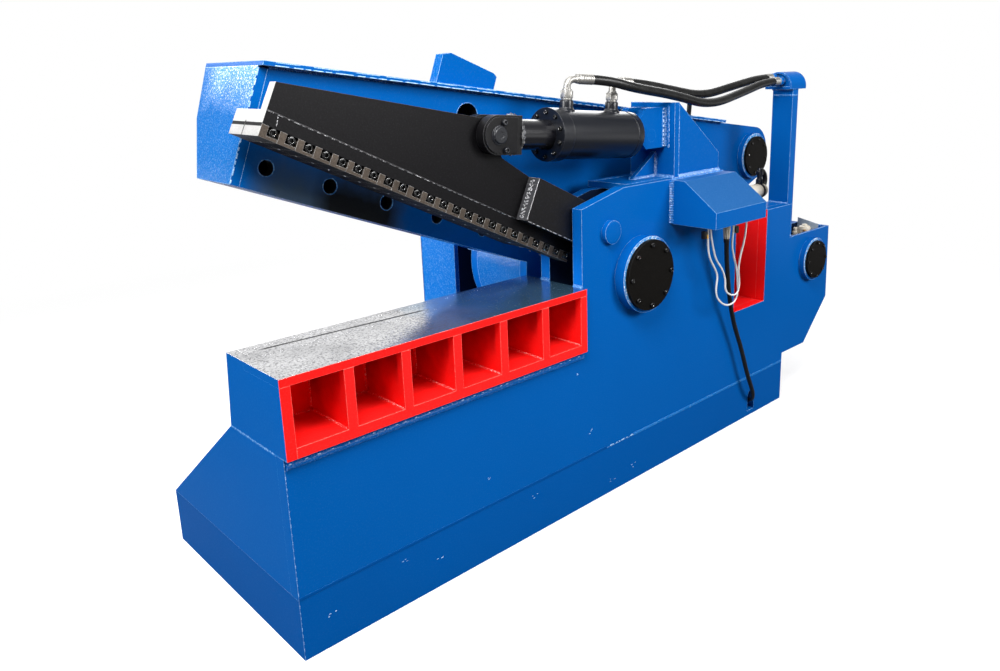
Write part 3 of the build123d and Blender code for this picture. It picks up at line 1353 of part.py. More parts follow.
with BuildPart() as cylinder_lugs:
    for lug_at in (WEB_MID - LUG_GAP / 2 - LUG, WEB_MID + LUG_GAP / 2):
        with BuildSketch(side(lug_at)):
            with BuildLine():
                Polyline(
                    (BRACKET_X, RAM_TAIL_Z - LUG_BOTTOM),
                    (BRACKET_X, RAM_TAIL_Z + LUG_TOP),
                    (RAM_TAIL_X - LUG_FRONT + LUG_CHAMFER, RAM_TAIL_Z + LUG_TOP),
                    (RAM_TAIL_X - LUG_FRONT, RAM_TAIL_Z + LUG_TOP - LUG_CHAMFER),
                    (RAM_TAIL_X - LUG_FRONT, RAM_TAIL_Z - LUG_BOTTOM + LUG_CHAMFER),
                    (RAM_TAIL_X - LUG_FRONT + LUG_CHAMFER, RAM_TAIL_Z - LUG_BOTTOM),
                    close=True,
                )
            make_face()
            with Locations((RAM_TAIL_X, RAM_TAIL_Z)):
                Circle(RAM_PIN_R + RUN_FIT, mode=Mode.SUBTRACT)
        extrude(amount=-LUG)
cylinder_lugs.part.label = "cylinder_lugs"
export_step(cylinder_lugs.part, "parts/cylinder_lugs.step")

# Control hood, open below, with the terminal block under it
with BuildPart() as control_hood:
    with BuildSketch(across(HOOD_X)):
        with BuildLine():
            Polyline(
                (0, HOOD_TOP),
                (-HOOD_LEDGE, HOOD_TOP),
                (-HOOD_DEPTH, HOOD_BROW),
                (-HOOD_DEPTH, HOOD_LIP),
                (0, HOOD_LIP),
                close=True,
            )
        make_face()
    extrude(amount=HOOD_LENGTH)
    with BuildSketch(across(HOOD_X + HOOD_SHEET)):
        with BuildLine():
            Polyline(
                (0, HOOD_TOP - HOOD_SHEET),
                (-HOOD_LEDGE + HOOD_SHEET / 2, HOOD_TOP - HOOD_SHEET),
                (-HOOD_DEPTH + HOOD_SHEET, HOOD_BROW - HOOD_SHEET / 2),
                (-HOOD_DEPTH + HOOD_SHEET, HOOD_LIP),
                (0, HOOD_LIP),
                close=True,
            )
        make_face()
    extrude(amount=HOOD_LENGTH - 2 * HOOD_SHEET, mode=Mode.SUBTRACT)
control_hood.part.label = "control_hood"
export_step(control_hood.part, "parts/control_hood.step")

with BuildPart() as terminal_block:
    with BuildSketch(level(BLOCK_BOTTOM)):
        with Locations((BLOCK_X, 0)):
            Rectangle(BLOCK_LENGTH, BLOCK_DEPTH, align=(Align.MIN, Align.MAX))
    extrude(amount=BLOCK_TOP - BLOCK_BOTTOM)
terminal_block.part.label = "terminal_block"
export_step(terminal_block.part, "parts/terminal_block.step")

# Window lining, rear column and rear compartment
with BuildPart() as window_lining:
    with BuildSketch(side(SIDE_PLATE)):
        with BuildLine():
            Polyline(
                (WINDOW_FRONT - LINING, REAR_COLUMN_TOP - LINING),
                (WINDOW_FRONT - LINING, WINDOW_SILL - LINING),
                (WINDOW_REAR + LINING, WINDOW_SILL - LINING),
                (WINDOW_REAR + LINING, REAR_COLUMN_TOP - LINING),
                (WINDOW_REAR, REAR_COLUMN_TOP - LINING),
                (WINDOW_REAR, WINDOW_SILL),
                (WINDOW_FRONT, WINDOW_SILL),
                (WINDOW_FRONT, REAR_COLUMN_TOP - LINING),
                close=True,
            )
        make_face()
    extrude(amount=-NEAR_BAY)
window_lining.part.label = "window_lining"
export_step(window_lining.part, "parts/window_lining.step")

POST_END = POST_AT + POST_WIDTH
with BuildPart() as rear_column:
    with BuildSketch(side(SIDE_PLATE)):
        with BuildLine():
            Polyline(
                (WINDOW_REAR, REAR_COLUMN_TOP - LINING),
                (WINDOW_REAR, REAR_COLUMN_TOP),
                (REAR_COLUMN_REAR, REAR_COLUMN_TOP),
                (REAR_COLUMN_REAR, WINDOW_SILL),
                (REAR_COLUMN_REAR - LINING, WINDOW_SILL),
                (REAR_COLUMN_REAR - LINING, REAR_COLUMN_TOP - LINING),
                close=True,
            )
        make_face()
    extrude(amount=-(POST_END - SIDE_PLATE))
rear_column.part.label = "rear_column"
export_step(rear_column.part, "parts/rear_column.step")

REAR_WALL_X = TAIL_END - TAIL_RAKE - LINING
with BuildPart() as rear_plates:
    with BuildSketch(side(SIDE_PLATE)):
        with BuildLine():
            Polyline(
                (BASE_LENGTH, TAIL_UNDERSIDE),
                (TAIL_FOOT, TAIL_UNDERSIDE),
                (TAIL_END, TAIL_KNEE),
                (TAIL_END - LINING, TAIL_KNEE + LINING / 2),
                (TAIL_FOOT - LINING / 2, TAIL_UNDERSIDE + LINING),
                (BASE_LENGTH, TAIL_UNDERSIDE + LINING),
                close=True,
            )
        make_face()
    extrude(amount=-NEAR_BAY)
    with BuildSketch(level(TAIL_UNDERSIDE)):
        with Locations((BASE_LENGTH, MID_AT)):
            Rectangle(TAIL_FOOT - BASE_LENGTH, MID_BAY, align=(Align.MIN, Align.MIN))
    extrude(amount=LINING)
    with BuildSketch(side(FAR_BAY_AT)):
        with BuildLine():
            Polyline(
                (BASE_LENGTH, TAIL_UNDERSIDE),
                (TAIL_FOOT, TAIL_UNDERSIDE),
                (TAIL_END, TAIL_KNEE),
                (TAIL_END - LINING, TAIL_KNEE + LINING / 2),
                (TAIL_FOOT - LINING / 2, TAIL_UNDERSIDE + LINING),
                (BASE_LENGTH, TAIL_UNDERSIDE + LINING),
                close=True,
            )
        make_face()
    extrude(amount=-(BASE_WIDTH - FAR_BAY_AT))
    with BuildSketch(across(REAR_WALL_X)):
        with Locations((SIDE_PLATE, TAIL_KNEE + LINING / 2)):
            Rectangle(
                NEAR_BAY, REAR_BOX_TOP - TAIL_KNEE - LINING / 2, align=(Align.MIN, Align.MIN)
            )
        with Locations((FAR_BAY_AT, TAIL_KNEE + LINING / 2)):
            Rectangle(
                BASE_WIDTH - FAR_BAY_AT,
                REAR_BOX_TOP - TAIL_KNEE - LINING / 2,
                align=(Align.MIN, Align.MIN),
            )
    extrude(amount=LINING)
rear_plates.part.label = "rear_plates"
export_step(rear_plates.part, "parts/rear_plates.step")

# Post with the hose saddle on top
with BuildPart() as post:
    with BuildSketch(level(REAR_BOX_TOP)):
        with Locations((REAR_COLUMN_REAR, POST_AT)):
            Rectangle(POST_LENGTH, POST_WIDTH, align=(Align.MIN, Align.MIN))
    extrude(amount=POST_TOP - REAR_BOX_TOP)
post.part.label = "post"
export_step(post.part, "parts/post.step")

SADDLE_FOOT = POST_TOP + POST_CAP
with BuildPart() as hose_saddle:
    with BuildSketch(level(POST_TOP)):
        with Locations((SADDLE_FRONT, SADDLE_AT)):
            Rectangle(SADDLE_LENGTH, 2 * SADDLE_R, align=(Align.MIN, Align.CENTER))
    extrude(amount=POST_CAP)
    with BuildSketch(across(SADDLE_FRONT)):
        with Locations((SADDLE_AT, SADDLE_FOOT)):
            Circle(SADDLE_R)
            Circle(SADDLE_R - SADDLE_WALL, mode=Mode.SUBTRACT)
            Rectangle(
                3 * SADDLE_R, 2 * SADDLE_R, align=(Align.CENTER, Align.MAX), mode=Mode.SUBTRACT
            )
    extrude(amount=SADDLE_LENGTH)
    with BuildSketch(across(SADDLE_FRONT + BULKHEAD)):
        with Locations((SADDLE_AT, SADDLE_FOOT)):
            Circle(SADDLE_R - SADDLE_WALL / 2)
            Rectangle(
                3 * SADDLE_R, 2 * SADDLE_R, align=(Align.CENTER, Align.MAX), mode=Mode.SUBTRACT
            )
    extrude(amount=BULKHEAD)
    for nipple in (NIPPLE_LOW, NIPPLE_HIGH):
        with BuildSketch(across(NIPPLE_END)):
            with Locations(nipple):
                Circle(FERRULE_R)
        extrude(amount=FERRULE)
        with BuildSketch(across(NIPPLE_END)):
            with Locations(nipple):
                Circle(NIPPLE_R)
        extrude(amount=SADDLE_FRONT + BULKHEAD - NIPPLE_END)
hose_saddle.part.label = "hose_saddle"
export_step(hose_saddle.part, "parts/hose_saddle.step")


def bends(points):
    """Bend radius at each inner point of a cord: tangent arcs over nine tenths of the shorter run."""
    radii = []
    for before, here, after in zip(points, points[1:], points[2:]):
        run_in = here - before
        run_out = after - here
        half = radians(run_in.get_angle(run_out)) / 2
        radii.append(0.45 * min(run_in.length, run_out.length) / tan(half))
    return radii


def report_cord(name, part, line, radius, radii):
    """Print a cord's tightest bend and its volume against section times length."""
    section = pi * radius * radius
    print(name, "tightest bend", round(min(radii)), "length", round(line.length))
    print(name, "volume ratio", round(part.volume / (section * line.length), 4))


# Hoses from the clamp cylinder's ports to the saddle on the post
def ferrule_end(port, turn):
    """End of an elbow and the way the hose leaves it."""
    top = ram_port(port, PORT_RISE)
    away = top.x_dir * cos(turn) - Vector(0, 1, 0) * sin(turn)
    return top.origin + away * ELBOW_REACH, away


FRONT_START, FRONT_WAY = ferrule_end(PORT_FRONT, ELBOW_TURN)
FRONT_POINTS = [
    FRONT_START,
    FRONT_START + FRONT_WAY * HOSE_LEAD,
    place(1540, 44, 1584),
    place(1780, 36, 1549),
    place(2040, 44, 1494),
    place(2320, 60, 1540),
    place(NIPPLE_END - HOSE_LEAD, NIPPLE_LOW[0], NIPPLE_LOW[1]),
    place(NIPPLE_END, NIPPLE_LOW[0], NIPPLE_LOW[1]),
]
with BuildPart() as hose_front:
    with BuildLine() as front_run:
        FilletPolyline(*FRONT_POINTS, radius=bends(FRONT_POINTS))
    with BuildSketch(Plane(origin=FRONT_START, z_dir=FRONT_WAY)):
        Circle(HOSE_R)
    sweep(path=front_run.wires()[0])
report_cord("hose_front", hose_front.part, front_run.wires()[0], HOSE_R, bends(FRONT_POINTS))
hose_front.part.label = "hose_front"
export_step(hose_front.part, "parts/hose_front.step")

REAR_START, REAR_WAY = ferrule_end(PORT_REAR, 0)
REAR_POINTS = [
    REAR_START,
    REAR_START + REAR_WAY * HOSE_LEAD,
    place(1850, 114, 1568),
    place(2070, 108, 1532),
    place(2300, 106, 1566),
    place(NIPPLE_END - HOSE_LEAD, NIPPLE_HIGH[0], NIPPLE_HIGH[1]),
    place(NIPPLE_END, NIPPLE_HIGH[0], NIPPLE_HIGH[1]),
]
with BuildPart() as hose_rear:
    with BuildLine() as rear_run:
        FilletPolyline(*REAR_POINTS, radius=bends(REAR_POINTS))
    with BuildSketch(Plane(origin=REAR_START, z_dir=REAR_WAY)):
        Circle(HOSE_R)
    sweep(path=rear_run.wires()[0])
report_cord("hose_rear", hose_rear.part, rear_run.wires()[0], HOSE_R, bends(REAR_POINTS))
hose_rear.part.label = "hose_rear"
export_step(hose_rear.part, "parts/hose_rear.step")

# Supply cable from the terminal block down the near side and into the base
CABLE_POINTS = [
    place(BLOCK_X + 211, -100, BLOCK_BOTTOM),
    place(BLOCK_X + 211, -100, 961),
    place(BLOCK_X + 245, -82, 844),
    place(BLOCK_X + 305, -62, 672),
    place(CABLE_SLOT_X - 241, -45, 524),
    place(CABLE_SLOT_X - 176, -45, 402),
    place(CABLE_SLOT_X - 113, -45, 249),
    place(CABLE_SLOT_X - 48, -45, 130),
    place(CABLE_SLOT_X + 2, 0, 70),
    place(CABLE_SLOT_X + 21, 90, 50),
    place(CABLE_SLOT_X + 27, 178, 44),
]
with BuildPart() as supply_cable:
    with BuildLine() as cable_run:
        FilletPolyline(*CABLE_POINTS, radius=bends(CABLE_POINTS))
    with BuildSketch(Plane(origin=CABLE_POINTS[0], z_dir=CABLE_POINTS[1] - CABLE_POINTS[0])):
        Circle(CABLE_R)
    sweep(path=cable_run.wires()[0])
report_cord("supply_cable", supply_cable.part, cable_run.wires()[0], CABLE_R, bends(CABLE_POINTS))
supply_cable.part.label = "supply_cable"
export_step(supply_cable.part, "parts/supply_cable.step")

# Two white wires that hang in a loop under the hood
WIRE_LONG = [
    place(1823, -112, BLOCK_BOTTOM),
    place(1823, -112, 1008),
    place(1827, -110, 952),
    place(1846, -106, 896),
    place(1893, -98, 848),
    place(1929, -94, 804),
    place(1921, -92, 757),
    place(1926, -90, 714),
    place(1964, -90, 674),
    place(2019, -90, 650),
    place(2073, -90, 657),
    place(2094, -90, 698),
    place(2080, -94, 758),
    place(2062, -98, 816),
    place(2026, -104, 876),
    place(2001, -110, 928),
    place(2003, -116, 996),
    place(2003, -116, BLOCK_BOTTOM),
]
WIRE_SHORT = [
    place(1852, -104, BLOCK_BOTTOM),
    place(1852, -104, 1000),
    place(1874, -102, 938),
    place(1901, -100, 878),
    place(1950, -98, 832),
    place(1980, -98, 782),
    place(1980, -98, 728),
    place(2022, -99, 697),
    place(2074, -101, 694),
    place(2082, -104, 742),
    place(2054, -112, 804),
    place(2050, -122, 868),
    place(2060, -132, 930),
    place(2058, -142, 996),
    place(2058, -142, BLOCK_BOTTOM),
]
with BuildPart() as wire_long:
    with BuildLine() as long_run:
        FilletPolyline(*WIRE_LONG, radius=bends(WIRE_LONG))
    with BuildSketch(Plane(origin=WIRE_LONG[0], z_dir=WIRE_LONG[1] - WIRE_LONG[0])):
        Circle(WIRE_R)
    sweep(path=long_run.wires()[0])
report_cord("wire_long", wire_long.part, long_run.wires()[0], WIRE_R, bends(WIRE_LONG))
wire_long.part.label = "wire_long"
export_step(wire_long.part, "parts/wire_long.step")

with BuildPart() as wire_short:
    with BuildLine() as short_run:
        FilletPolyline(*WIRE_SHORT, radius=bends(WIRE_SHORT))
    with BuildSketch(Plane(origin=WIRE_SHORT[0], z_dir=WIRE_SHORT[1] - WIRE_SHORT[0])):
        Circle(WIRE_R)
    sweep(path=short_run.wires()[0])
report_cord("wire_short", wire_short.part, short_run.wires()[0], WIRE_R, bends(WIRE_SHORT))
wire_short.part.label = "wire_short"
export_step(wire_short.part, "parts/wire_short.step")
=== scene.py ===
"""Looks of the alligator shear: enamel, bare steel, welds, screws, fittings, hoses and wires."""
from math import atan2, cos, pi, radians, sin
from random import Random

import bmesh
import bpy
from mathutils import Matrix, Vector


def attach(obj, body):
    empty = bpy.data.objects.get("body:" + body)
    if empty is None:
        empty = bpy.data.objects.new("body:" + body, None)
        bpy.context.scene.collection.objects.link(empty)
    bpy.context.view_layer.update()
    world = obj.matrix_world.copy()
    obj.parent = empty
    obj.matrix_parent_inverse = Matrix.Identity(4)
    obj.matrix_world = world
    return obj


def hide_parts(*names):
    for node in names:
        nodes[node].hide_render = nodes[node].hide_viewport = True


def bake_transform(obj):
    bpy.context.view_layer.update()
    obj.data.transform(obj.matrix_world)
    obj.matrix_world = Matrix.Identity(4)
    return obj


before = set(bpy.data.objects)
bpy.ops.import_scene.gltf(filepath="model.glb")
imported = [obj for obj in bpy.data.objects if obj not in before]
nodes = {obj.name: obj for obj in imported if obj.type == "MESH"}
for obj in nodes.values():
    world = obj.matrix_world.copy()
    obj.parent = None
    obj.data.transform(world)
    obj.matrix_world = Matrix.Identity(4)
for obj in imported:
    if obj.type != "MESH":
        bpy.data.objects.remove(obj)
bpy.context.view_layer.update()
rng = Random(7)

# Directions
NEAR_SIDE = Vector((0, -1, 0))
FAR_SIDE = -NEAR_SIDE
UP = Vector((0, 0, 1))
DOWN = -UP
REAR = Vector((1, 0, 0))
FRONT = -REAR

# Places in mm: from the base's front and the floor, or the tail pin in the jaw's own frame
MAIN_PIVOT = (1530, 877)
TRUNNION = (2892, 692)
CLAMP_PIVOT = (1350, 1068)
TAIL_PIN = (1090, 761)

# Frames of the turned parts: pivot and slope
JAW = (*MAIN_PIVOT, radians(20.83))
CLAMP = (*CLAMP_PIVOT, radians(25.6))
RAM = (1680, 1396, atan2(59, 802))


def at(x, depth, z):
    """Millimetres from the base's front, the near plate's outer face and the floor, as a point in metres."""
    return Vector((x - 1330, depth - 463, z)) / 1000


def boss(place, depth):
    """Point at a pivot's place and at a depth from the near plate."""
    return at(place[0], depth, place[1])


def turned(pivot, x, y, depth):
    """Point in the frame of the jaw, clamp or ram: x rearwards along it, y square to it, from its pivot."""
    px, pz, a = pivot
    return at(px + x * cos(a) + y * sin(a), depth, pz - x * sin(a) + y * cos(a))


def along(pivot):
    """Directions rearwards along a turned frame and square to it, upwards."""
    a = pivot[2]
    return Vector((cos(a), 0, -sin(a))), Vector((sin(a), 0, cos(a)))


# Camera and light
AZIMUTH, TILT, ROLL = radians(-43.78), radians(14.09), radians(-1.44)
EYE = at(-889.2, -1963.2, 1662.8)
back = Vector((sin(AZIMUTH) * cos(TILT), -cos(AZIMUTH) * cos(TILT), sin(TILT)))
flat = Vector((cos(AZIMUTH), sin(AZIMUTH), 0))
upright = back.cross(flat)
right = flat * cos(ROLL) + upright * sin(ROLL)
lens = bpy.data.cameras.new("camera")
lens.lens = 29.27
lens.sensor_width = 36
lens.shift_x = -0.0409
lens.shift_y = -0.0628
camera = bpy.data.objects.new("camera", lens)
bpy.context.scene.collection.objects.link(camera)
turn = Matrix((right, back.cross(right), back)).transposed().to_4x4()
camera.matrix_world = Matrix.Translation(EYE) @ turn
bpy.context.scene.camera = camera
bpy.context.scene.view_settings.view_transform = "Standard"


def softbox(name, place, target, width, height, power):
    """Soft rectangular studio lamp, which the camera doesn't see."""
    lamp = bpy.data.lights.new(name, "AREA")
    lamp.shape = "RECTANGLE"
    lamp.size, lamp.size_y, lamp.energy = width, height, power
    box = bpy.data.objects.new(name, lamp)
    bpy.context.scene.collection.objects.link(box)
    box.location = place
    box.rotation_euler = (Vector(target) - Vector(place)).to_track_quat("-Z", "Y").to_euler()
    box.visible_camera = False


softbox("key", (2.0, -5.4, 3.3), (0.1, -0.3, 0.8), 2.6, 2.2, 360)
softbox("near_left", (-1.9, -1.7, 3.7), (0, -0.2, 0.9), 1.8, 1.4, 175)
softbox("over", (0, 0.4, 5.2), (0, 0, 0.9), 4.5, 3.0, 75)
softbox("front", (-6.5, 0.6, 3.4), (-0.3, 0, 1.0), 3.0, 2.4, 370)
softbox("mouth", (-1.25, 1.45, 1.15), (0.05, 0.1, 0.95), 0.6, 0.5, 42)
softbox("far_corner", (-2.6, 4.6, 3.35), (-1.1, 0, 1.6), 0.9, 0.7, 20)
softbox("rear", (4.4, 3.4, 3.6), (0.6, 0, 0.8), 3.0, 2.6, 115)


# Node helpers
def link(tree, value, socket):
    """Set a socket to a value, or join it to an output."""
    if isinstance(value, bpy.types.NodeSocket):
        tree.links.new(value, socket)
    else:
        socket.default_value = value


def add(tree, kind, inputs=(), **settings):
    """New node; inputs pairs a socket's name or number with a value or an output."""
    made = tree.nodes.new("ShaderNode" + kind)
    for key, value in settings.items():
        setattr(made, key, value)
    for key, value in dict(inputs).items():
        link(tree, value, made.inputs[key])
    return made


def grey(value):
    """Colour of one brightness."""
    return (value, value, value, 1)


def maths(tree, operation, a, b=0.0):
    """Result of one operation on two values."""
    return add(tree, "Math", {0: a, 1: b}, operation=operation).outputs[0]


def noise(tree, coords, scale, detail=2.0, rough=0.5):
    """Cloudy pattern from 0 to 1."""
    made = add(tree, "TexNoise", {"Vector": coords, "Scale": scale, "Detail": detail, "Roughness": rough})
    return made.outputs["Fac"]


def ramp(tree, value, low, high, to_low=0.0, to_high=1.0):
    """A value's range, stretched to another range and held at its ends."""
    ends = {"From Min": low, "From Max": high, "To Min": to_low, "To Max": to_high}
    return add(tree, "MapRange", {"Value": value, **ends}).outputs["Result"]


def mix(tree, factor, a, b, blend="MIX"):
    """Two colours mixed by a factor."""
    made = add(tree, "Mix", data_type="RGBA", blend_type=blend)
    link(tree, factor, made.inputs[0])
    link(tree, a, made.inputs[6])
    link(tree, b, made.inputs[7])
    return made.outputs[2]


def stretch(tree, coords, scale, turn=(0, 0, 0)):
    """Coordinates that draw a pattern out into lines."""
    return add(tree, "Mapping", {"Vector": coords, "Rotation": turn, "Scale": scale}).outputs["Vector"]


# Shared node groups
def start_group(name, inputs):
    """Shader node group with these inputs and the outputs Color, Roughness and Normal."""
    tree = bpy.data.node_groups.new(name, "ShaderNodeTree")
    for title, value in inputs.items():
        kind = "NodeSocketFloat" if isinstance(value, float) else "NodeSocketColor"
        tree.interface.new_socket(title, in_out="INPUT", socket_type=kind).default_value = value
    for title, kind in (("Color", "Color"), ("Roughness", "Float"), ("Normal", "Vector")):
        tree.interface.new_socket(title, in_out="OUTPUT", socket_type="NodeSocket" + kind)
    coords = tree.nodes.new("ShaderNodeTexCoord").outputs["Object"]
    return tree, tree.nodes.new("NodeGroupInput").outputs, tree.nodes.new("NodeGroupOutput"), coords


def edges(tree, radius):
    """Normal that rounds the edges, and a mask that is 1 along them."""
    soft = add(tree, "Bevel", {"Radius": radius}, samples=6).outputs["Normal"]
    face = tree.nodes.new("ShaderNodeNewGeometry").outputs["Normal"]
    dot = add(tree, "VectorMath", {0: soft, 1: face}, operation="DOT_PRODUCT").outputs["Value"]
    return soft, ramp(tree, dot, 0.985, 0.86)


def end_group(tree, out, color, rough, height, strength, distance, soft):
    """Join the outputs of a group, with its relief over the rounded normal."""
    bump = add(tree, "Bump", {"Height": height, "Strength": strength, "Distance": distance, "Normal": soft})
    for title, value in (("Color", color), ("Roughness", rough), ("Normal", bump.outputs["Normal"])):
        link(tree, value, out.inputs[title])
    return tree


def enamel_group():
    """Thick gloss enamel: faint clouds, orange peel, dust nibs, and painted highlights: light specks and a
    bright line along the edges.
    """
    tree, given, out, coords = start_group(
        "enamel",
        {"Color": grey(0.5), "Edge": grey(0.8), "Gloss": 0.25, "Peel": 0.3, "Rim": 0.0035, "Fleck": 0.05},
    )
    soft, rim = edges(tree, given["Rim"])
    cloud = noise(tree, coords, 1.7, 4.0, 0.6)
    fleck = noise(tree, coords, 190.0, 2.0)
    nibs = ramp(tree, noise(tree, coords, 420.0, 1.0), 0.66, 0.72)
    color = mix(tree, ramp(tree, cloud, 0.3, 0.7, 0.0, 0.14), given["Color"], grey(0.68), "MULTIPLY")
    # Painted highlight: a line in the Edge colour along the edges, broken up by the specks
    rim = maths(tree, "MULTIPLY", rim, ramp(tree, fleck, 0.35, 0.6, 0.3, 1.0))
    color = mix(tree, rim, color, given["Edge"])
    # Painted sparkle: light specks and the dust nibs in the Edge colour
    spots = maths(tree, "MAXIMUM", ramp(tree, fleck, 0.53, 0.67), nibs)
    color = mix(tree, maths(tree, "MULTIPLY", spots, given["Fleck"]), color, given["Edge"])
    rough = maths(tree, "ADD", given["Gloss"], ramp(tree, cloud, 0.3, 0.75, -0.01, 0.03))
    ripple = maths(tree, "MULTIPLY", noise(tree, coords, 310.0, 1.0), 0.4)
    peel = maths(tree, "ADD", noise(tree, coords, 115.0, 2.0), ripple)
    peel = maths(tree, "ADD", peel, maths(tree, "MULTIPLY", nibs, 0.25))
    return end_group(tree, out, color, rough, peel, given["Peel"], 0.0022, soft)


def steel_group():
    """Bare steel: stains, specks of scale, scratches in two directions, a fine pitted grain, and edges
    lightened by wear and by painted glints.
    """
    tree, given, out, coords = start_group(
        "bare_steel",
        {
            "Color": grey(0.4), "Stain": grey(0.1), "Gloss": 0.25, "Grain": 0.3, "Size": 190.0,
            "Speck": 0.4, "Patch": 0.6, "Wear": 0.5, "Rim": 0.002,
        },
    )
    soft, rim = edges(tree, given["Rim"])
    stain = noise(tree, coords, 7.0, 5.0, 0.65)
    grain = noise(tree, coords, given["Size"], 3.0, 0.6)
    scores = noise(tree, stretch(tree, coords, (3.0, 240.0, 3.0), (0, 0, 0.12)), 1.0, 2.0)
    cuts = noise(tree, stretch(tree, coords, (210.0, 4.0, 90.0), (0, 0.3, 0.5)), 1.0, 2.0)
    patch = maths(tree, "MULTIPLY", ramp(tree, stain, 0.4, 0.78), given["Patch"])
    speck = maths(tree, "MULTIPLY", ramp(tree, grain, 0.48, 0.62), given["Speck"])
    color = mix(tree, patch, given["Color"], given["Stain"])
    color = mix(tree, ramp(tree, scores, 0.6, 0.75, 0.0, 0.35), color, given["Stain"])
    color = mix(tree, speck, color, given["Stain"])
    color = mix(tree, ramp(tree, cuts, 0.66, 0.74, 0.0, 0.2), color, grey(0.75))
    # Edges lightened: wear, and painted glints on the screws and fittings
    color = mix(tree, maths(tree, "MULTIPLY", rim, given["Wear"]), color, grey(0.8))
    rough = maths(tree, "ADD", given["Gloss"], ramp(tree, grain, 0.4, 0.7, -0.02, 0.12))
    lines = maths(tree, "MULTIPLY", maths(tree, "ADD", scores, cuts), 0.4)
    return end_group(tree, out, color, rough, maths(tree, "ADD", grain, lines), given["Grain"], 0.0014, soft)


def moulded_group():
    """Rubber and moulded plastic: faint mottle, dust and a fine skin."""
    tree, given, out, coords = start_group(
        "moulded", {"Color": grey(0.03), "Dust": grey(0.3), "Gloss": 0.45, "Skin": 0.2}
    )
    soft, rim = edges(tree, 0.0008)
    mottle = noise(tree, coords, 30.0, 4.0, 0.6)
    skin = noise(tree, coords, 900.0, 2.0)
    color = mix(tree, ramp(tree, mottle, 0.5, 0.85, 0.0, 0.3), given["Color"], given["Dust"])
    color = mix(tree, maths(tree, "MULTIPLY", rim, 0.25), color, given["Dust"])
    rough = maths(tree, "ADD", given["Gloss"], ramp(tree, mottle, 0.3, 0.8, -0.05, 0.12))
    return end_group(tree, out, color, rough, skin, given["Skin"], 0.0006, soft)


GROUPS = {"enamel": enamel_group(), "steel": steel_group(), "moulded": moulded_group()}


def look(tree, finish):
    """A finish's shared group with its own values; its outputs are Color, Roughness and Normal."""
    kind, inputs = finish[:2]
    made = tree.nodes.new("ShaderNodeGroup")
    made.node_tree = GROUPS[kind]
    for key, value in inputs.items():
        made.inputs[key].default_value = value
    return made.outputs


# Borders in metres: a sharp one, and the widest that stays straight
SHARP = 0.0006
STRAIGHT = 0.01


def zone(tree, facing, *bands):
    """Mask that is 1 on faces that look one way and inside every band along a direction."""
    coords = tree.nodes.new("ShaderNodeTexCoord").outputs
    mask = 1.0
    if facing:
        turn = add(tree, "VectorMath", {0: coords["Normal"], 1: facing}, operation="DOT_PRODUCT")
        mask = ramp(tree, turn.outputs["Value"], 0.7, 0.9)
    for way, low, high, border in bands:
        dot = add(tree, "VectorMath", {0: coords["Object"], 1: way}, operation="DOT_PRODUCT")
        far = dot.outputs["Value"]
        if border > STRAIGHT:
            cloud = noise(tree, coords["Object"], 9.0, 4.0)
            far = maths(tree, "ADD", far, ramp(tree, cloud, 0, 1, -border, border))
        mask = maths(tree, "MULTIPLY", mask, ramp(tree, far, low - border, low + border))
        mask = maths(tree, "MULTIPLY", mask, ramp(tree, far, high - border, high + border, 1.0, 0.0))
    return mask


def surface(name, finish, *layers, specular=0.5):
    """Material in one finish; each layer puts another finish over it where its zones say."""
    made = bpy.data.materials.new(name)
    made.use_nodes = True
    tree = made.node_tree
    bsdf = tree.nodes["Principled BSDF"]
    base = look(tree, finish)
    color, rough, normal, metal = base["Color"], base["Roughness"], base["Normal"], finish[2]
    for over, amount, zones in layers:
        mask = 0.0
        for facing, *bands in zones:
            mask = maths(tree, "MAXIMUM", mask, zone(tree, facing, *bands))
        mask = maths(tree, "MULTIPLY", mask, amount)
        top = look(tree, over)
        color = mix(tree, mask, color, top["Color"])
        rough = add(tree, "Mix", {0: mask, 2: rough, 3: top["Roughness"]}).outputs[0]
        normal = add(tree, "Mix", {0: mask, 4: normal, 5: top["Normal"]}, data_type="VECTOR").outputs[1]
        if over[2] != metal:
            metal = add(tree, "Mix", {0: mask, 2: metal, 3: over[2]}).outputs[0]
    sockets = {"Base Color": color, "Roughness": rough, "Normal": normal, "Metallic": metal}
    for title, value in sockets.items():
        link(tree, value, bsdf.inputs[title])
    bsdf.inputs["Specular IOR Level"].default_value = specular
    return made


def finish(kind, metallic=0.0, **inputs):
    """A shared group's name, its own values and how metallic the surface is."""
    values = {}
    for key, value in inputs.items():
        if isinstance(value, tuple):
            value = grey(*value) if len(value) == 1 else (*value, 1)
        values[key] = value
    return kind, values, metallic


# Finishes: paint, bare metal and moulded plastic
BLUE = finish("enamel", Color=(0.0004, 0.084, 0.335), Edge=(0.42, 0.7, 0.96),
              Gloss=0.2, Peel=0.12, Rim=0.0026, Fleck=0.012)
PLAIN = finish("enamel", Color=(0.0004, 0.084, 0.335), Edge=(0.1, 0.4, 0.85),
               Gloss=0.25, Peel=0.16, Rim=0.0005, Fleck=0.03)
# Light blue with white specks: painted glints on welds and edges, and chips in the paint
CHIP_AND_GLINT = finish("enamel", Color=(0.3, 0.55, 0.85), Edge=(0.9, 0.96, 1.0),
              Gloss=0.2, Peel=0.8, Rim=0.0005, Fleck=0.7)
# Near-black painted shadow below the clamp
CLAMP_SHADOW_BLACK = finish("enamel", Color=(0.011, 0.0105, 0.01), Edge=(0.03, 0.03, 0.03),
               Gloss=0.6, Peel=0.1, Rim=0.001, Fleck=0.1)
RING_HIGHLIGHT = finish("enamel", Color=(0.04, 0.24, 0.58), Edge=(0.92, 0.97, 1.0),
                    Gloss=0.15, Peel=0.4, Rim=0.003, Fleck=0.9)
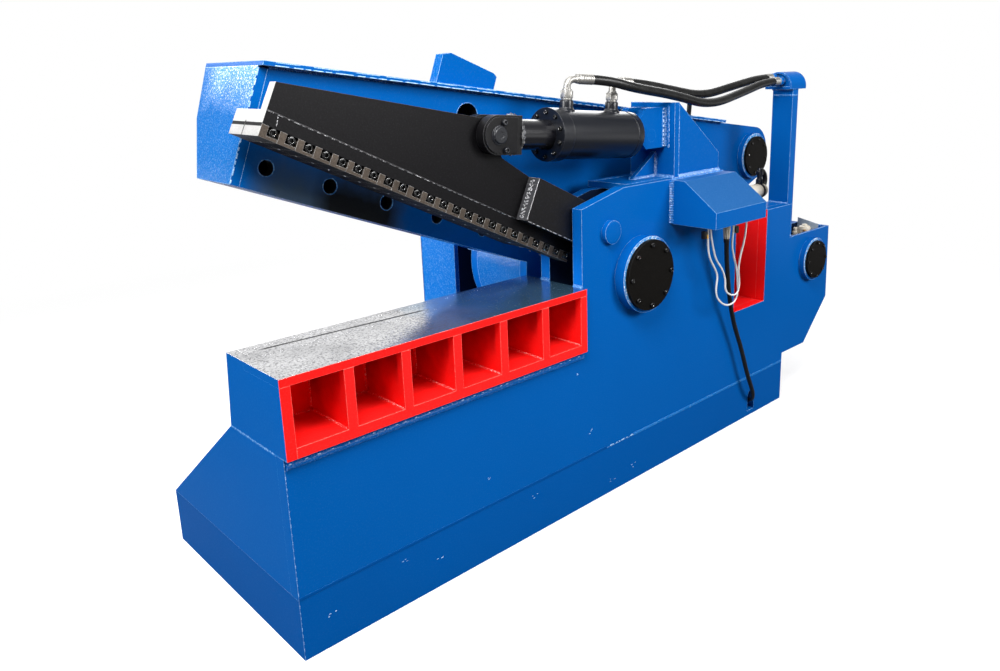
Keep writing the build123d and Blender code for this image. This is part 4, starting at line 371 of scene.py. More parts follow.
# Greyer, darker blue for painted shade low on the jaw's near face
SHADE_GREY = finish("enamel", Color=(0.07, 0.11, 0.16), Edge=(0.1, 0.13, 0.16),
              Gloss=0.5, Peel=0.1, Rim=0.001, Fleck=0.1)
GREYER_TOP = finish("enamel", Color=(0.012, 0.078, 0.235), Edge=(0.3, 0.6, 0.93),
               Gloss=0.35, Peel=0.12, Rim=0.0028, Fleck=0.03)
# Slightly lighter blue with light specks: painted sparkle on front faces
SPARKLE = finish("enamel", Color=(0.001, 0.095, 0.335), Edge=(0.4, 0.66, 0.92),
                 Gloss=0.15, Peel=0.6, Rim=0.003, Fleck=0.11)
# Light blue with white specks: painted glare
GLINT = finish("enamel", Color=(0.08, 0.26, 0.58), Edge=(0.95, 0.97, 1.0),
               Gloss=0.15, Peel=0.7, Rim=0.005, Fleck=1.0)
# Welds in a lighter blue than the plates, with many light specks: painted light on the beads
BLUE_BEAD = finish("enamel", Color=(0.003, 0.13, 0.44), Edge=(0.4, 0.68, 0.94),
                   Gloss=0.14, Peel=0.9, Rim=0.0015, Fleck=0.45)
# Darker blue: painted shade on the base and in the band under its top seam
SHADE_BLUE = finish("enamel", Color=(0.0004, 0.06, 0.255), Edge=(0.1, 0.4, 0.85),
              Gloss=0.25, Peel=0.16, Rim=0.0005, Fleck=0.02)
SEAM_BLUE = finish("enamel", Color=(0.0006, 0.082, 0.33), Edge=(0.55, 0.78, 0.97),
                   Gloss=0.16, Peel=0.5, Rim=0.0008, Fleck=0.1)
BAND_BLUE = finish("enamel", Color=(0.003, 0.125, 0.42), Edge=(0.3, 0.6, 0.92),
                   Gloss=0.3, Peel=0.4, Rim=0.0008, Fleck=0.25)
RED = finish("enamel", Color=(0.95, 0.011, 0.01), Edge=(0.97, 0.3, 0.26),
             Gloss=0.34, Peel=0.15, Rim=0.0025, Fleck=0.03)
# Darker reds: painted shade in the pockets
RED_DEPTH_SHADE = finish("enamel", Color=(0.4, 0.005, 0.005), Edge=(0.6, 0.1, 0.08),
                  Gloss=0.4, Peel=0.15, Rim=0.002, Fleck=0.05)
RED_SHADE = finish("enamel", Color=(0.05, 0.001, 0.0015), Edge=(0.3, 0.03, 0.03),
                   Gloss=0.4, Peel=0.15, Rim=0.002, Fleck=0.03)
# A slightly lighter copy of the red: painted light in the window, which sits in shade
RED_PAINTED_BRIGHTER = finish("enamel", Color=(0.98, 0.01, 0.012), Edge=(0.97, 0.3, 0.26),
                    Gloss=0.34, Peel=0.15, Rim=0.002, Fleck=0.03)
# Red welds, pinker and with many light specks: painted sparkle
RED_BEAD = finish("enamel", Color=(0.9, 0.03, 0.028), Edge=(0.98, 0.6, 0.55),
                  Gloss=0.2, Peel=0.8, Rim=0.001, Fleck=0.5)
BLACK = finish("enamel", Color=(0.0032, 0.003, 0.0036), Edge=(0.09, 0.09, 0.1),
               Gloss=0.38, Peel=0.12, Rim=0.002, Fleck=0.04)
ROD = finish("enamel", Color=(0.004, 0.004, 0.006), Edge=(0.08, 0.08, 0.09),
             Gloss=0.22, Peel=0.04, Rim=0.001, Fleck=0.01)
BARREL = finish("enamel", Color=(0.004, 0.005, 0.008), Edge=(0.05, 0.05, 0.06),
                Gloss=0.29, Peel=0.1, Rim=0.002, Fleck=0.05)
COVER = finish("enamel", Color=(0.004, 0.0035, 0.003), Edge=(0.04, 0.04, 0.04),
               Gloss=0.45, Peel=0.08, Rim=0.002, Fleck=0.1)
# Near-black painted shade for gaps, recesses, undersides, holes and the bays' inner faces
SHADE_BLACK = finish("enamel", Color=(0.004, 0.0035, 0.0035), Edge=(0.02, 0.02, 0.02),
              Gloss=0.6, Peel=0.1, Rim=0.001, Fleck=0.1)
TABLE = finish("steel", 0.92, Color=(0.74, 0.74, 0.75), Stain=(0.09, 0.09, 0.1),
               Gloss=0.1, Grain=0.12, Size=150.0, Speck=0.68, Patch=0.5, Wear=0.3)
# Blue-tinted steel: a painted reflection of the blue plates on the table's rear part
TABLE_BLUE_REFLECTION = finish("steel", 0.92, Color=(0.19, 0.43, 0.66), Stain=(0.06, 0.11, 0.17),
                    Gloss=0.16, Grain=0.1, Speck=0.35, Patch=0.4)
# Bare steel, painted light enough to also stand for the white studio's reflection
BARE_STEEL_AND_SHEEN = finish("steel", 0.1, Color=(0.37, 0.37, 0.365), Stain=(0.27, 0.26, 0.25),
                Gloss=0.3, Grain=0.15, Patch=0.4)
GRIP = finish("steel", 0.4, Color=(0.08, 0.063, 0.05), Stain=(0.014, 0.011, 0.009), Gloss=0.36, Grain=0.35)
SCREW = finish("steel", 0.8, Color=(0.022,), Stain=(0.008,),
               Gloss=0.15, Grain=0.04, Speck=0.2, Wear=0.8, Rim=0.0008)
CHROME = finish("steel", 1.0, Color=(0.6,), Stain=(0.42,), Gloss=0.07, Grain=0.02, Speck=0.1)
OILED = finish("steel", 0.6, Color=(0.022, 0.024, 0.03), Stain=(0.014, 0.015, 0.018),
               Gloss=0.16, Grain=0.01, Speck=0.1, Wear=0.1)
BRONZE = finish("steel", 0.9, Color=(0.42, 0.24, 0.09), Stain=(0.2, 0.1, 0.04), Gloss=0.3, Grain=0.12)
ZINC = finish("steel", 0.8, Color=(0.4, 0.39, 0.37), Stain=(0.16, 0.15, 0.13),
              Gloss=0.3, Grain=0.1, Speck=0.25, Wear=0.6, Rim=0.001)
# Bright bare weld, which also paints glints
BEAD = finish("steel", 0.5, Color=(0.75, 0.75, 0.77), Stain=(0.1, 0.1, 0.11),
              Gloss=0.25, Grain=0.6, Size=150.0, Speck=0.6, Wear=0.0)
DARK_BEAD = finish("steel", 0.5, Color=(0.5, 0.5, 0.52), Stain=(0.01, 0.01, 0.011),
                   Gloss=0.2, Grain=0.9, Size=90.0, Speck=0.9, Wear=0.0)
HUB_FACE = finish("steel", 0.2, Color=(0.06, 0.06, 0.066), Stain=(0.03, 0.03, 0.032), Gloss=0.45, Grain=0.3)
GROOVE = finish("steel", 0.2, Color=(0.02,), Stain=(0.008,), Gloss=0.5, Grain=0.2)
RUBBER = finish("moulded", Color=(0.008,), Dust=(0.035,), Gloss=0.28, Skin=0.25)
SHEATH = finish("moulded", Color=(0.008,), Dust=(0.03,), Gloss=0.36, Skin=0.2)
WHITE = finish("moulded", Color=(0.68,), Dust=(0.5, 0.47, 0.42), Gloss=0.4, Skin=0.1)
PLASTIC = finish("moulded", Color=(0.2,), Dust=(0.35,), Gloss=0.5, Skin=0.3)
YELLOW = finish("moulded", Color=(0.7, 0.36, 0.03), Dust=(0.5, 0.4, 0.2), Gloss=0.4, Skin=0.2)
SLATE = finish("enamel", Color=(0.25, 0.3, 0.36), Edge=(0.6, 0.65, 0.7),
               Gloss=0.4, Peel=0.1, Rim=0.003, Fleck=0.1)
CREAM = finish("moulded", Color=(0.52, 0.47, 0.38), Dust=(0.34, 0.3, 0.24), Gloss=0.42, Skin=0.3)


def band(way, one, two, border=SHARP):
    """Band along a direction, from one point to another."""
    low, high = sorted((way.dot(one), way.dot(two)))
    return way, low, high, border


def lengths(x0, x1, border=SHARP):
    """Band between two distances from the base's front."""
    return band(REAR, at(x0, 0, 0), at(x1, 0, 0), border)


def depths(y0, y1, border=SHARP):
    """Band between two depths from the near plate."""
    return band(FAR_SIDE, at(0, y0, 0), at(0, y1, 0), border)


def heights(z0, z1, border=SHARP):
    """Band between two heights above the floor."""
    return band(UP, at(0, 0, z0), at(0, 0, z1), border)


def runs(pivot, x0, x1, border=SHARP):
    """Band along a turned frame."""
    return band(along(pivot)[0], turned(pivot, x0, 0, 0), turned(pivot, x1, 0, 0), border)


def rises(pivot, y0, y1, border=SHARP):
    """Band square to a turned frame."""
    return band(along(pivot)[1], turned(pivot, 0, y0, 0), turned(pivot, 0, y1, 0), border)


JAW_BACK, JAW_UP = along(JAW)
CLAMP_BACK, CLAMP_UP = along(CLAMP)
RAM_BACK, RAM_UP = along(RAM)

# Zones that a second finish covers: the way its faces look, or None for all, and bands
ON_TABLE = heights(881, 883)
TABLE_EDGE = heights(640, 890)
TABLE_FACE = [(UP, ON_TABLE)]
# Painted reflection: the rear part of the table top tinted blue
TABLE_REFLECTION_ZONE = [(UP, ON_TABLE, lengths(690, 1500, 0.12))]
TABLE_FRONT = [(FRONT, heights(800, 890))]
ACROSS_GROOVE = Vector((0.063, 0.998, 0))
GROOVE_WIDTH = band(ACROSS_GROOVE, at(64, 243, 0), at(64, 255, 0), 0.002)
TABLE_GROOVE = [(UP, ON_TABLE, GROOVE_WIDTH, lengths(70, 650, 0.02))]
# A weld painted on the front faces, lighter than the plates: painted light on the seam
FRONT_SEAM = [(FRONT, lengths(-5, 3), heights(637, 646))]
PLATE_FRONT = [(FRONT, heights(-5, 700))]
WINDOW = [(None, lengths(2203, 2468), heights(556, 1010), depths(1, 60))]
UP_AND_IN = Vector((0, 0.5, 0.866))
# Painted shade in the table's pockets: darker red deeper in, near-black under the top
POCKET_DEPTH_SHADE = [(None, depths(75, 400, 0.05))]
POCKET_TOP_SHADE = [(None, depths(6, 400, 0.005), band(UP_AND_IN, at(0, 130, 760), at(0, 400, 1200), 0.08))]
# End faces of the clamp's tip: bare steel, painted bright for a reflection too
TIP = [(-CLAMP_BACK, runs(CLAMP, -1345, -1335))]
# Painted shade: dark bands for the gaps between the flange and the grip blocks at the tip
TIP_GAP_SHADE = [
    (-CLAMP_BACK, rises(CLAMP, -124, -114)),
    (-CLAMP_BACK, rises(CLAMP, -160, -110), depths(202, 207)),
]
# Painted shade in the grips' recesses and under the grips
GRIP_RECESS_SHADE = [(NEAR_SIDE, depths(117, 123))]
GRIP_UNDERSIDE_SHADE = [(-CLAMP_UP,)]
HUB_FRONT = [(-CLAMP_BACK,)]
BEAM_FRONT = [(-JAW_BACK,)]
# Painted glare: white specks on the top of the beam's front
BEAM_GLINT = [(-JAW_BACK, rises(JAW, 205, 400, 0.07), depths(250, 640, 0.06))]
# Painted shadow below the clamp round the middle bolt holes, and painted shade lower down towards the front
CLAMP_SHADOW = [(NEAR_SIDE, runs(JAW, -1235, -950, 0.035), rises(JAW, -140, 55, 0.06))]
SHADE = [(NEAR_SIDE, runs(JAW, -1440, -960, 0.06), rises(JAW, -140, 40, 0.07))]
# Painted highlight: a lighter arc with sparkles on the upper left of each ring
LEFT_TOP = Vector((-0.8, 0, 0.6))
RING_HIGHLIGHT_ARCS = [
    (NEAR_SIDE, band(LEFT_TOP, middle + LEFT_TOP * 0.035, middle + LEFT_TOP * 0.25, 0.025))
    for middle in (boss(MAIN_PIVOT, 0), boss(TRUNNION, 0), turned(JAW, *TAIL_PIN, 0))
]
FACING_NEAR = [(NEAR_SIDE,)]
FACING_FRONT = [(FRONT,)]
# The hood's top in a greyer, darker blue
HOOD_TOP = [(Vector((0, -0.6, 0.8)),)]

# Materials. Painted plates mirror next to nothing, so that the white studio doesn't bleach them
DULL = 0.02
blue = surface("blue_enamel", BLUE, specular=DULL)
hood_blue = surface("hood_enamel", BLUE, (GREYER_TOP, 1.0, HOOD_TOP), specular=DULL)
# Painted shade: the inner plates' near faces near-black, where little light reaches
bay_blue = surface("bay_enamel", BLUE, (SHADE_BLACK, 0.93, FACING_NEAR), specular=DULL)
front_blue = surface("front_enamel", PLAIN, (BLUE_BEAD, 0.9, FRONT_SEAM), specular=DULL)
# Front faces with painted sparkle
sparkle_blue = surface("sparkling_enamel", SPARKLE, specular=0.08)
ring_blue = surface("ring_enamel", BLUE, (RING_HIGHLIGHT, 0.95, RING_HIGHLIGHT_ARCS), specular=0.08)
plain_blue = surface("plain_enamel", PLAIN, specular=DULL)
# Painted glints and paint chips
bright_seam = surface("bright_seam", CHIP_AND_GLINT)
beam_blue = surface(
    "beam_enamel", BLUE, (SPARKLE, 1.0, BEAM_FRONT), (GLINT, 0.9, BEAM_GLINT), specular=0.01
)
window_plate = surface(
    "window_plate_enamel", BLUE, (PLAIN, 1.0, PLATE_FRONT), (RED_PAINTED_BRIGHTER, 1.0, WINDOW), specular=DULL
)
jaw_side = surface("jaw_side_enamel", BLUE, (SHADE_GREY, 0.9, SHADE), (CLAMP_SHADOW_BLACK, 0.95, CLAMP_SHADOW), specular=DULL)
red = surface(
    "red_enamel", RED, (RED_DEPTH_SHADE, 0.25, POCKET_DEPTH_SHADE), (RED_SHADE, 0.85, POCKET_TOP_SHADE), specular=0.12
)
window_red = surface("window_enamel", RED_PAINTED_BRIGHTER, specular=0.12)
table_top = surface(
    "table_top", RED, (TABLE, 1.0, TABLE_FACE), (TABLE_BLUE_REFLECTION, 1.0, TABLE_REFLECTION_ZONE), (PLAIN, 1.0, TABLE_FRONT),
    specular=DULL,
)
table_end = surface(
    "table_end_enamel", PLAIN, (BLUE_BEAD, 0.9, FRONT_SEAM), (TABLE, 1.0, TABLE_FACE),
    (RED, 1.0, [(NEAR_SIDE, TABLE_EDGE), (REAR, TABLE_EDGE)]), specular=DULL,
)
jaw_bar = surface(
    "jaw_bar_enamel", PLAIN, (RED, 1.0, [(NEAR_SIDE, TABLE_EDGE)]), (TABLE, 1.0, TABLE_FACE),
    (TABLE_BLUE_REFLECTION, 1.0, TABLE_REFLECTION_ZONE), (GROOVE, 0.95, TABLE_GROOVE), specular=DULL,
)
black = surface("black_paint", BLACK, specular=0.2)
clamp_black = surface("clamp_paint", BLACK, (BARE_STEEL_AND_SHEEN, 1.0, TIP), (SHADE_BLACK, 1.0, TIP_GAP_SHADE), specular=0.1)
hub_black = surface("clamp_hub_paint", BLACK, (HUB_FACE, 1.0, HUB_FRONT), specular=0.16)
barrel_black = surface("barrel_paint", BARREL, specular=0.42)
cover = surface("black_cover", COVER, specular=0.04)
# Painted light: the welds are lighter than the plates
weld_blue = surface("painted_weld", BLUE_BEAD, specular=0.7)
table_bead = surface("smooth_weld", SEAM_BLUE, specular=0.08)
band_blue = surface("skid_seam_enamel", BAND_BLUE, specular=DULL)
shadow_band_blue = surface("shadow_band_enamel", SHADE_BLUE, specular=DULL)
# Painted shade: the base's front and near faces darker than the plates above
skid_blue = surface(
    "skid_enamel", BLUE, (SHADE_BLUE, 0.65, FACING_FRONT), (SHADE_BLUE, 0.4, FACING_NEAR), specular=DULL
)
weld_red = surface("red_weld", RED_BEAD)
weld_black = surface("black_weld", BLACK)
dark_weld = surface("dark_weld", DARK_BEAD)
bare_weld_and_glint = surface("bare_weld_and_glint", BEAD)
table_steel = surface("table_steel", TABLE, (TABLE_BLUE_REFLECTION, 1.0, TABLE_REFLECTION_ZONE))
# Painted shade inside the holes
hole_black = surface("hole_shade_black", SHADE_BLACK)
grip = surface(
    "grip_steel", GRIP, (SHADE_BLACK, 0.6, GRIP_RECESS_SHADE), (SHADE_BLACK, 0.95, GRIP_UNDERSIDE_SHADE), (BARE_STEEL_AND_SHEEN, 0.85, TIP),
    (SHADE_BLACK, 1.0, TIP_GAP_SHADE), specular=0.15,
)
screw = surface("black_screw", SCREW)
chrome = surface("rod_chrome", CHROME)
oiled = surface("oiled_fittings", OILED)
rod_black = surface("oiled_rod", ROD, specular=0.6)
bronze = surface("bronze", BRONZE)
zinc = surface("zinc_plate", ZINC)
rubber = surface("hose_rubber", RUBBER, specular=0.2)
sheath = surface("cable_sheath", SHEATH, specular=0.25)
white = surface("wire_insulation", WHITE)
plastic = surface("terminal_plastic", PLASTIC)
yellow = surface("yellow_plastic", YELLOW)
cream = surface("cream_plastic", CREAM)
slate = surface("slate_paint", SLATE, specular=0.3)


# Mesh helpers
def piece(name, bm, material, body, angle=40, replaced=()):
    """Finished object from a bmesh, smooth below an angle, riding on a body."""
    bmesh.ops.recalc_face_normals(bm, faces=bm.faces)
    data = bpy.data.meshes.new(name)
    bm.to_mesh(data)
    bm.free()
    data.materials.append(material)
    data.shade_smooth()
    data.set_sharp_from_angle(angle=radians(angle))
    made = bpy.data.objects.new(name, data)
    bpy.context.scene.collection.objects.link(made)
    if body:
        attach(made, body)
    if replaced:
        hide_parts(*replaced)
    return made


def square_to(axis):
    """Two directions square to an axis."""
    axis = axis.normalized()
    one = axis.cross(UP if abs(axis.z) < 0.9 else REAR).normalized()
    return one, axis.cross(one)


def loft(bm, rings, ends=True):
    """Faces between closed rings of points, and a cap on both ends."""
    made = [[bm.verts.new(p) for p in ring] for ring in rings]
    count = len(made[0])
    for one, two in zip(made, made[1:]):
        for i in range(count):
            j = (i + 1) % count
            bm.faces.new((one[i], one[j], two[j], two[i]))
    if ends:
        bm.faces.new(made[0])
        bm.faces.new(made[-1])


def circle(sides):
    """Angles at even steps round a circle."""
    return [2 * pi * i / sides for i in range(sides)]


def lathe(bm, origin, axis, profile, sides=48, ends=True):
    """Turned shape: profile lists radius and distance along the axis, in mm."""
    axis = axis.normalized()
    one, two = square_to(axis)
    rings = []
    for r, h in profile:
        middle = origin + axis * (h / 1000)
        rings.append([middle + (one * cos(a) + two * sin(a)) * (r / 1000) for a in circle(sides)])
    loft(bm, rings, ends=ends)


def hexagon(angle, radius):
    """Distance from the middle to the side of a hexagon with this corner radius."""
    return radius * cos(pi / 6) / cos(angle % (pi / 3) - pi / 6)


def prism(bm, origin, axis, profile, sides=24):
    """Six-sided shape: profile lists corner radius, round limit and distance along the axis, in mm."""
    axis = axis.normalized()
    one, two = square_to(axis)
    rings = []
    for corner, limit, h in profile:
        ring = []
        for a in circle(sides):
            r = min(hexagon(a, corner), limit) / 1000
            ring.append(origin + axis * (h / 1000) + (one * cos(a) + two * sin(a)) * r)
        rings.append(ring)
    loft(bm, rings)


def socket_screw(bm, origin, axis, radius, height, sides=24):
    """Socket head screw: rounded head with a hexagon hole, sitting on origin."""
    axis = axis.normalized()
    one, two = square_to(axis)
    turn = rng.uniform(0, pi / 3)
    # Radius, or else the corner radius of the hexagon, and height
    shape = [
        (radius, 0, -0.2),
        (radius, 0, height * 0.66),
        (radius * 0.95, 0, height * 0.84),
        (radius * 0.84, 0, height * 0.96),
        (radius * 0.64, 0, height),
        (0, radius * 0.56, height),
        (0, radius * 0.53, height * 0.94),
        (0, radius * 0.53, height * 0.4),
        (radius * 0.1, 0, height * 0.28),
    ]
    rings = []
    for r, corner, h in shape:
        ring = []
        for a in circle(sides):
            d = (r or hexagon(a, corner)) / 1000
            ring.append(origin + axis * (h / 1000) + (one * cos(a + turn) + two * sin(a + turn)) * d)
        rings.append(ring)
    loft(bm, rings)


def slab(bm, corners, thickness, chamfer):
    """Flat plate from its corners, with chamfered rims; sizes in mm."""
    normal = (corners[1] - corners[0]).cross(corners[2] - corners[0]).normalized()
    top = [bm.verts.new(c + normal * thickness / 1000) for c in corners]
    low = [bm.verts.new(c) for c in corners]
    faces = [bm.faces.new(top), bm.faces.new(low[::-1])]
    for i in range(len(corners)):
        j = (i + 1) % len(corners)
        faces.append(bm.faces.new((low[i], low[j], top[j], top[i])))
    # Each edge once, in a fixed order
    rims = list(dict.fromkeys(e for f in faces for e in f.edges))
    bmesh.ops.bevel(bm, geom=rims, offset=chamfer / 1000, segments=2, affect="EDGES", profile=0.6)


def block(bm, x0, x1, near, far, z, height, chamfer):
    """Box with chamfered rims that stands at a height above the floor, in mm."""
    slab(bm, [at(x0, near, z), at(x1, near, z), at(x1, far, z), at(x0, far, z)], height, chamfer)


def tube(bm, line, radius, sides=16):
    """Tube along a line of points."""
    rings = []
    side = square_to(line[1] - line[0])[0]
    for i, p in enumerate(line):
        way = (line[min(i + 1, len(line) - 1)] - line[max(i - 1, 0)]).normalized()
        side = (side - way * side.dot(way)).normalized()
        over = way.cross(side)
        rings.append([p + (side * cos(a) + over * sin(a)) * radius for a in circle(sides)])
    loft(bm, rings)


def route(points):
    """Points along the smooth spline that has these control points."""
    curve = bpy.data.curves.new("route", "CURVE")
    curve.dimensions = "3D"
    curve.resolution_u = 16
    spline = curve.splines.new("NURBS")
    spline.points.add(len(points) - 1)
    for point, place in zip(spline.points, points):
        point.co = (*place, 1)
    spline.order_u = 3
    spline.use_endpoint_u = True
    holder = bpy.data.objects.new("route", curve)
    shape = bpy.data.meshes.new_from_object(holder)
    line = [v.co.copy() for v in shape.vertices]
    bpy.data.objects.remove(holder)
    bpy.data.curves.remove(curve)
    bpy.data.meshes.remove(shape)
    return line


# Hoses, cable and wires: control points of their routes
FRONT_HOSE = [
    at(1321.7, 104.0, 1622.9), at(1426.1, 70.0, 1615.2), at(1540, 44, 1584), at(1780, 36, 1549),
    at(2040, 44, 1494), at(2320, 60, 1540), at(2520, 72, 1578), at(2630, 72, 1578),
]
REAR_HOSE = [
    at(1571.0, 122.5, 1604.6), at(1680.7, 122.5, 1596.5), at(1850, 114, 1568), at(2070, 108, 1532),
    at(2300, 106, 1566), at(2520, 110, 1594), at(2630, 110, 1594),
]
CABLE = [
    at(1976, -100, 1062), at(1976, -100, 961), at(2010, -82, 844), at(2070, -62, 672),
    at(2142, -45, 524), at(2207, -45, 402), at(2270, -45, 249), at(2335, -45, 130),
    at(2385, 0, 70), at(2404, 90, 50), at(2410, 178, 44),
]
LONG_WIRE = [
    at(1823, -112, 1062), at(1823, -112, 1008), at(1827, -110, 952), at(1846, -106, 896), at(1893, -98, 848),
    at(1929, -94, 804), at(1921, -92, 757), at(1926, -90, 714), at(1964, -90, 674), at(2019, -90, 650),
    at(2073, -90, 657), at(2094, -90, 698), at(2080, -94, 758), at(2062, -98, 816), at(2026, -104, 876),
    at(2001, -110, 928), at(2003, -116, 996), at(2003, -116, 1062),
]
SHORT_WIRE = [
    at(1852, -104, 1062), at(1852, -104, 1000), at(1874, -102, 938), at(1901, -100, 878), at(1950, -98, 832),
    at(1980, -98, 782), at(1980, -98, 728), at(2022, -99, 697), at(2074, -101, 694), at(2082, -104, 742),
    at(2054, -112, 804), at(2050, -122, 868), at(2060, -132, 930), at(2058, -142, 996), at(2058, -142, 1062),
]

for title, points, length in (
    ("hose_front_rubber", FRONT_HOSE, 1.334),
    ("hose_rear_rubber", REAR_HOSE, 1.067),
):
    line = route(points)
    bm = bmesh.new()
    tube(bm, line, 0.018, 24)
    hose = piece(title, bm, rubber, None, 60, ("_".join(title.split("_")[:2]),))
    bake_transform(hose)

for title, points, radius, length, coat, slot, bend in (
    ("supply_cable_sheath", CABLE, 0.010, 1.277, sheath, "cable_black", "medium"),
    ("wire_long_white", LONG_WIRE, 0.004, 0.972, white, "wire_white", "limp"),
    ("wire_short_white", SHORT_WIRE, 0.004, 0.838, white, "wire_white", "limp"),
):
    line = route(points)
    bm = bmesh.new()
    tube(bm, line, radius, 12)
    cord = piece(title, bm, coat, "frame", 60, ("_".join(title.split("_")[:2]),))


# Weld beads
def bead(bm, station, length, size, flat=False, closed=False):
    """Weld bead of overlapping scales.

    station gives the root and two directions at a share of the way: along the two faces that the bead
    joins, or for a flat seam across it and outwards.
    """
    pitch = max(6.0, size * 0.8)
    scales = max(2, round(length * 1000 / pitch))
    last = 5
    rings = []
    for k in range(scales):
        fat = 1 + rng.uniform(-0.09, 0.09)
        for step, swell in ((0.0, 0.68), (0.35, 1.08), (0.8, 1.0)):
            root, a, b = station((k + step) / scales)
            ring = []
            for n in range(last + 1):
                turn = n * (pi if flat else pi / 2) / last
                if flat:
                    wide = size * (0.3 + 0.2 * swell) * fat
                    offset = a * cos(turn) * wide + b * (sin(turn) * size * 0.26 * swell * fat - 0.4)
                else:
                    out = size * (1 - 0.2 * sin(2 * turn)) * swell * fat
                    sunk = {0: b, last: a}.get(n, Vector())
                    offset = (a * cos(turn) + b * sin(turn)) * out - sunk * 0.3
                ring.append(root + offset / 1000)
            if not flat:
                ring.append(root - (a + b) * 0.0005)
            rings.append(ring)
    if closed:
        rings.append(rings[0])
    loft(bm, rings, ends=not closed)
    if closed:
        bmesh.ops.remove_doubles(bm, verts=bm.verts, dist=1e-6)


def seam(bm, start, end, a, b, size, flat=False):
    """Straight bead."""
    bead(bm, lambda t: (start.lerp(end, t), a, b), (end - start).length, size, flat)


def dashes(start, end, a, b, size, run, gap):
    """Flat beads in a row along a line, with uneven runs and gaps in mm."""
    way, made, gone = end - start, [], 0.0
    reach = way.length * 1000
    while gone < reach - 4:
        stop = min(reach, gone + run * rng.uniform(0.4, 1.6))
        made.append((start + way * (gone / reach), start + way * (stop / reach), a, b, size, True))
        gone = stop + gap * rng.uniform(0.5, 1.5)
    return made


def ring_seam(bm, middle, axis, radius, size, flat=False):
    """Bead round a boss that stands on a plate; a flat one goes round a tube."""
    one, two = square_to(axis)

    def station(t):
        out = one * cos(2 * pi * t) + two * sin(2 * pi * t)
        return middle + out * radius / 1000, (axis if flat else out), (out if flat else axis)

    bead(bm, station, 2 * pi * radius / 1000, size, flat, True)


def beads(name, seams, rings, material, body):
    """One piece of several beads."""
    bm = bmesh.new()
    for one in seams:
        seam(bm, *one)
    for one in rings:
        ring = bmesh.new()
        ring_seam(ring, *one)
        data = bpy.data.meshes.new("ring")
        ring.to_mesh(data)
        ring.free()
        bm.from_mesh(data)
        bpy.data.meshes.remove(data)
    piece(name, bm, material, body, 50)


def seam_strip(name, x0, x1, z0, z1, thickness, material):
    """Flat strip on the near plate's face along the skid's top seam."""
    bm = bmesh.new()
    slab(bm, [at(x0, 0.3, z0), at(x1, 0.3, z0), at(x1, 0.3, z1), at(x0, 0.3, z1)], thickness, 0.4)
    piece(name, bm, material, "frame", 50)


# Short directions for the lists of seams: near, far, up, down, rearwards and forwards
N, F, U, D, R, L = NEAR_SIDE, FAR_SIDE, UP, DOWN, REAR, FRONT

# Seams: start, end, two directions, size in mm, and True for a flat one
frame_seams = [
    (at(1200, 0, 642), at(1200, 0, 882), R, N, 8),
    (at(1200, 2, 882), at(1200, 44, 882), L, U, 8),
    (at(1200, 168, 882), at(1200, 214, 882), L, U, 8),
    (at(1725, 0, 1045), at(1725, 0, 1219), L, N, 12),
    (at(2085, 0, 1045), at(2085, 0, 1219), R, N, 12),
    (at(1728, 0, 1220), at(2082, 0, 1220), U, N, 4),
    (at(1765, 20, 1224), at(1765, 241, 1224), L, U, 10),
    (at(1790, 18, 1224), at(2078, 18, 1224), N, U, 11),
    (at(1797, 48, 1224), at(2073, 48, 1224), F, U, 10),
    (at(1797, 213, 1224), at(2073, 213, 1224), N, U, 10),
    (at(2075, 20, 1224), at(2075, 46, 1224), R, U, 9),
    (at(2075, 215, 1224), at(2075, 241, 1224), R, U, 9),
    (at(1795, 48, 1226), at(1795, 48, 1500), R, F, 9),
    (at(1795, 213, 1226), at(1795, 213, 1500), R, N, 9),
    (at(1795, 18, 1228), at(1795, 18, 1514), R, N, 6, True),
    (at(1795, 243, 1228), at(1795, 243, 1514), R, F, 6, True),
    (at(1765, 65, 1347), at(1765, 65, 1502), N, L, 8),
    (at(1749, 65, 1349), at(1749, 65, 1500), R, N, 10, True),
    (at(1765, 49, 1342), at(1765, 49, 1508), N, L, 10, True),
    (at(1765, 95, 1347), at(1765, 95, 1502), F, L, 10),
    (at(1765, 150, 1347), at(1765, 150, 1502), N, L, 10),
    (at(1765, 180, 1347), at(1765, 180, 1502), F, L, 12),
    (at(1765, 112.5, 1226), at(1765, 112.5, 1322), N, L, 9),
    (at(1765, 132.5, 1226), at(1765, 132.5, 1322), F, L, 9),
    (at(1622, 112.5, 1224), at(1763, 112.5, 1224), N, U, 9),
    (at(1622, 132.5, 1224), at(1763, 132.5, 1224), F, U, 9),
    (at(2683, 24, 999), at(2683, 125, 999), L, U, 5),
    (at(2685, 22, 834), at(2731, 22, 834), N, U, 6),
    (at(2683, 24, 1540), at(2683, 125, 1540), L, D, 6),
    (at(2683, 23, 1512), at(2683, 126, 1512), U, L, 10, True),
    (at(2684, 22, 1512), at(2732, 22, 1512), U, N, 10, True),
    (at(2733, 24, 1540), at(2733, 125, 1540), R, D, 9),
    (at(2684, 127, 1540), at(2732, 127, 1540), F, D, 9),
    (at(1500, 46, 1224), at(1790, 46, 1224), N, U, 6, True),
    (at(1431, 926, 1224), at(2085, 926, 1224), N, U, 7, True),
    (at(1502, 214, 1224), at(1763, 214, 1224), N, U, 6, True),
    (at(1180, 745, 334.7), at(1180, 924, 202), L, Vector((0, 0.597, 0.803)), 10),
    (at(1180, 960, 204), at(1180, 960, 1168), R, F, 5, True),
]
frame_rings = [
    (boss(MAIN_PIVOT, 960), F, 150, 6),
    (boss(TRUNNION, 960), F, 107, 5),
]
beads("frame_welds", frame_seams, frame_rings, weld_blue, "frame")
seam_strip("skid_seam_rear", 1495, 2658, 197, 208, 1.5, band_blue)
# Painted shadow: a darker band under the skid's top seam at the front
seam_strip("skid_shadow_band", 1, 1330, 198, 209, 1.3, shadow_band_blue)

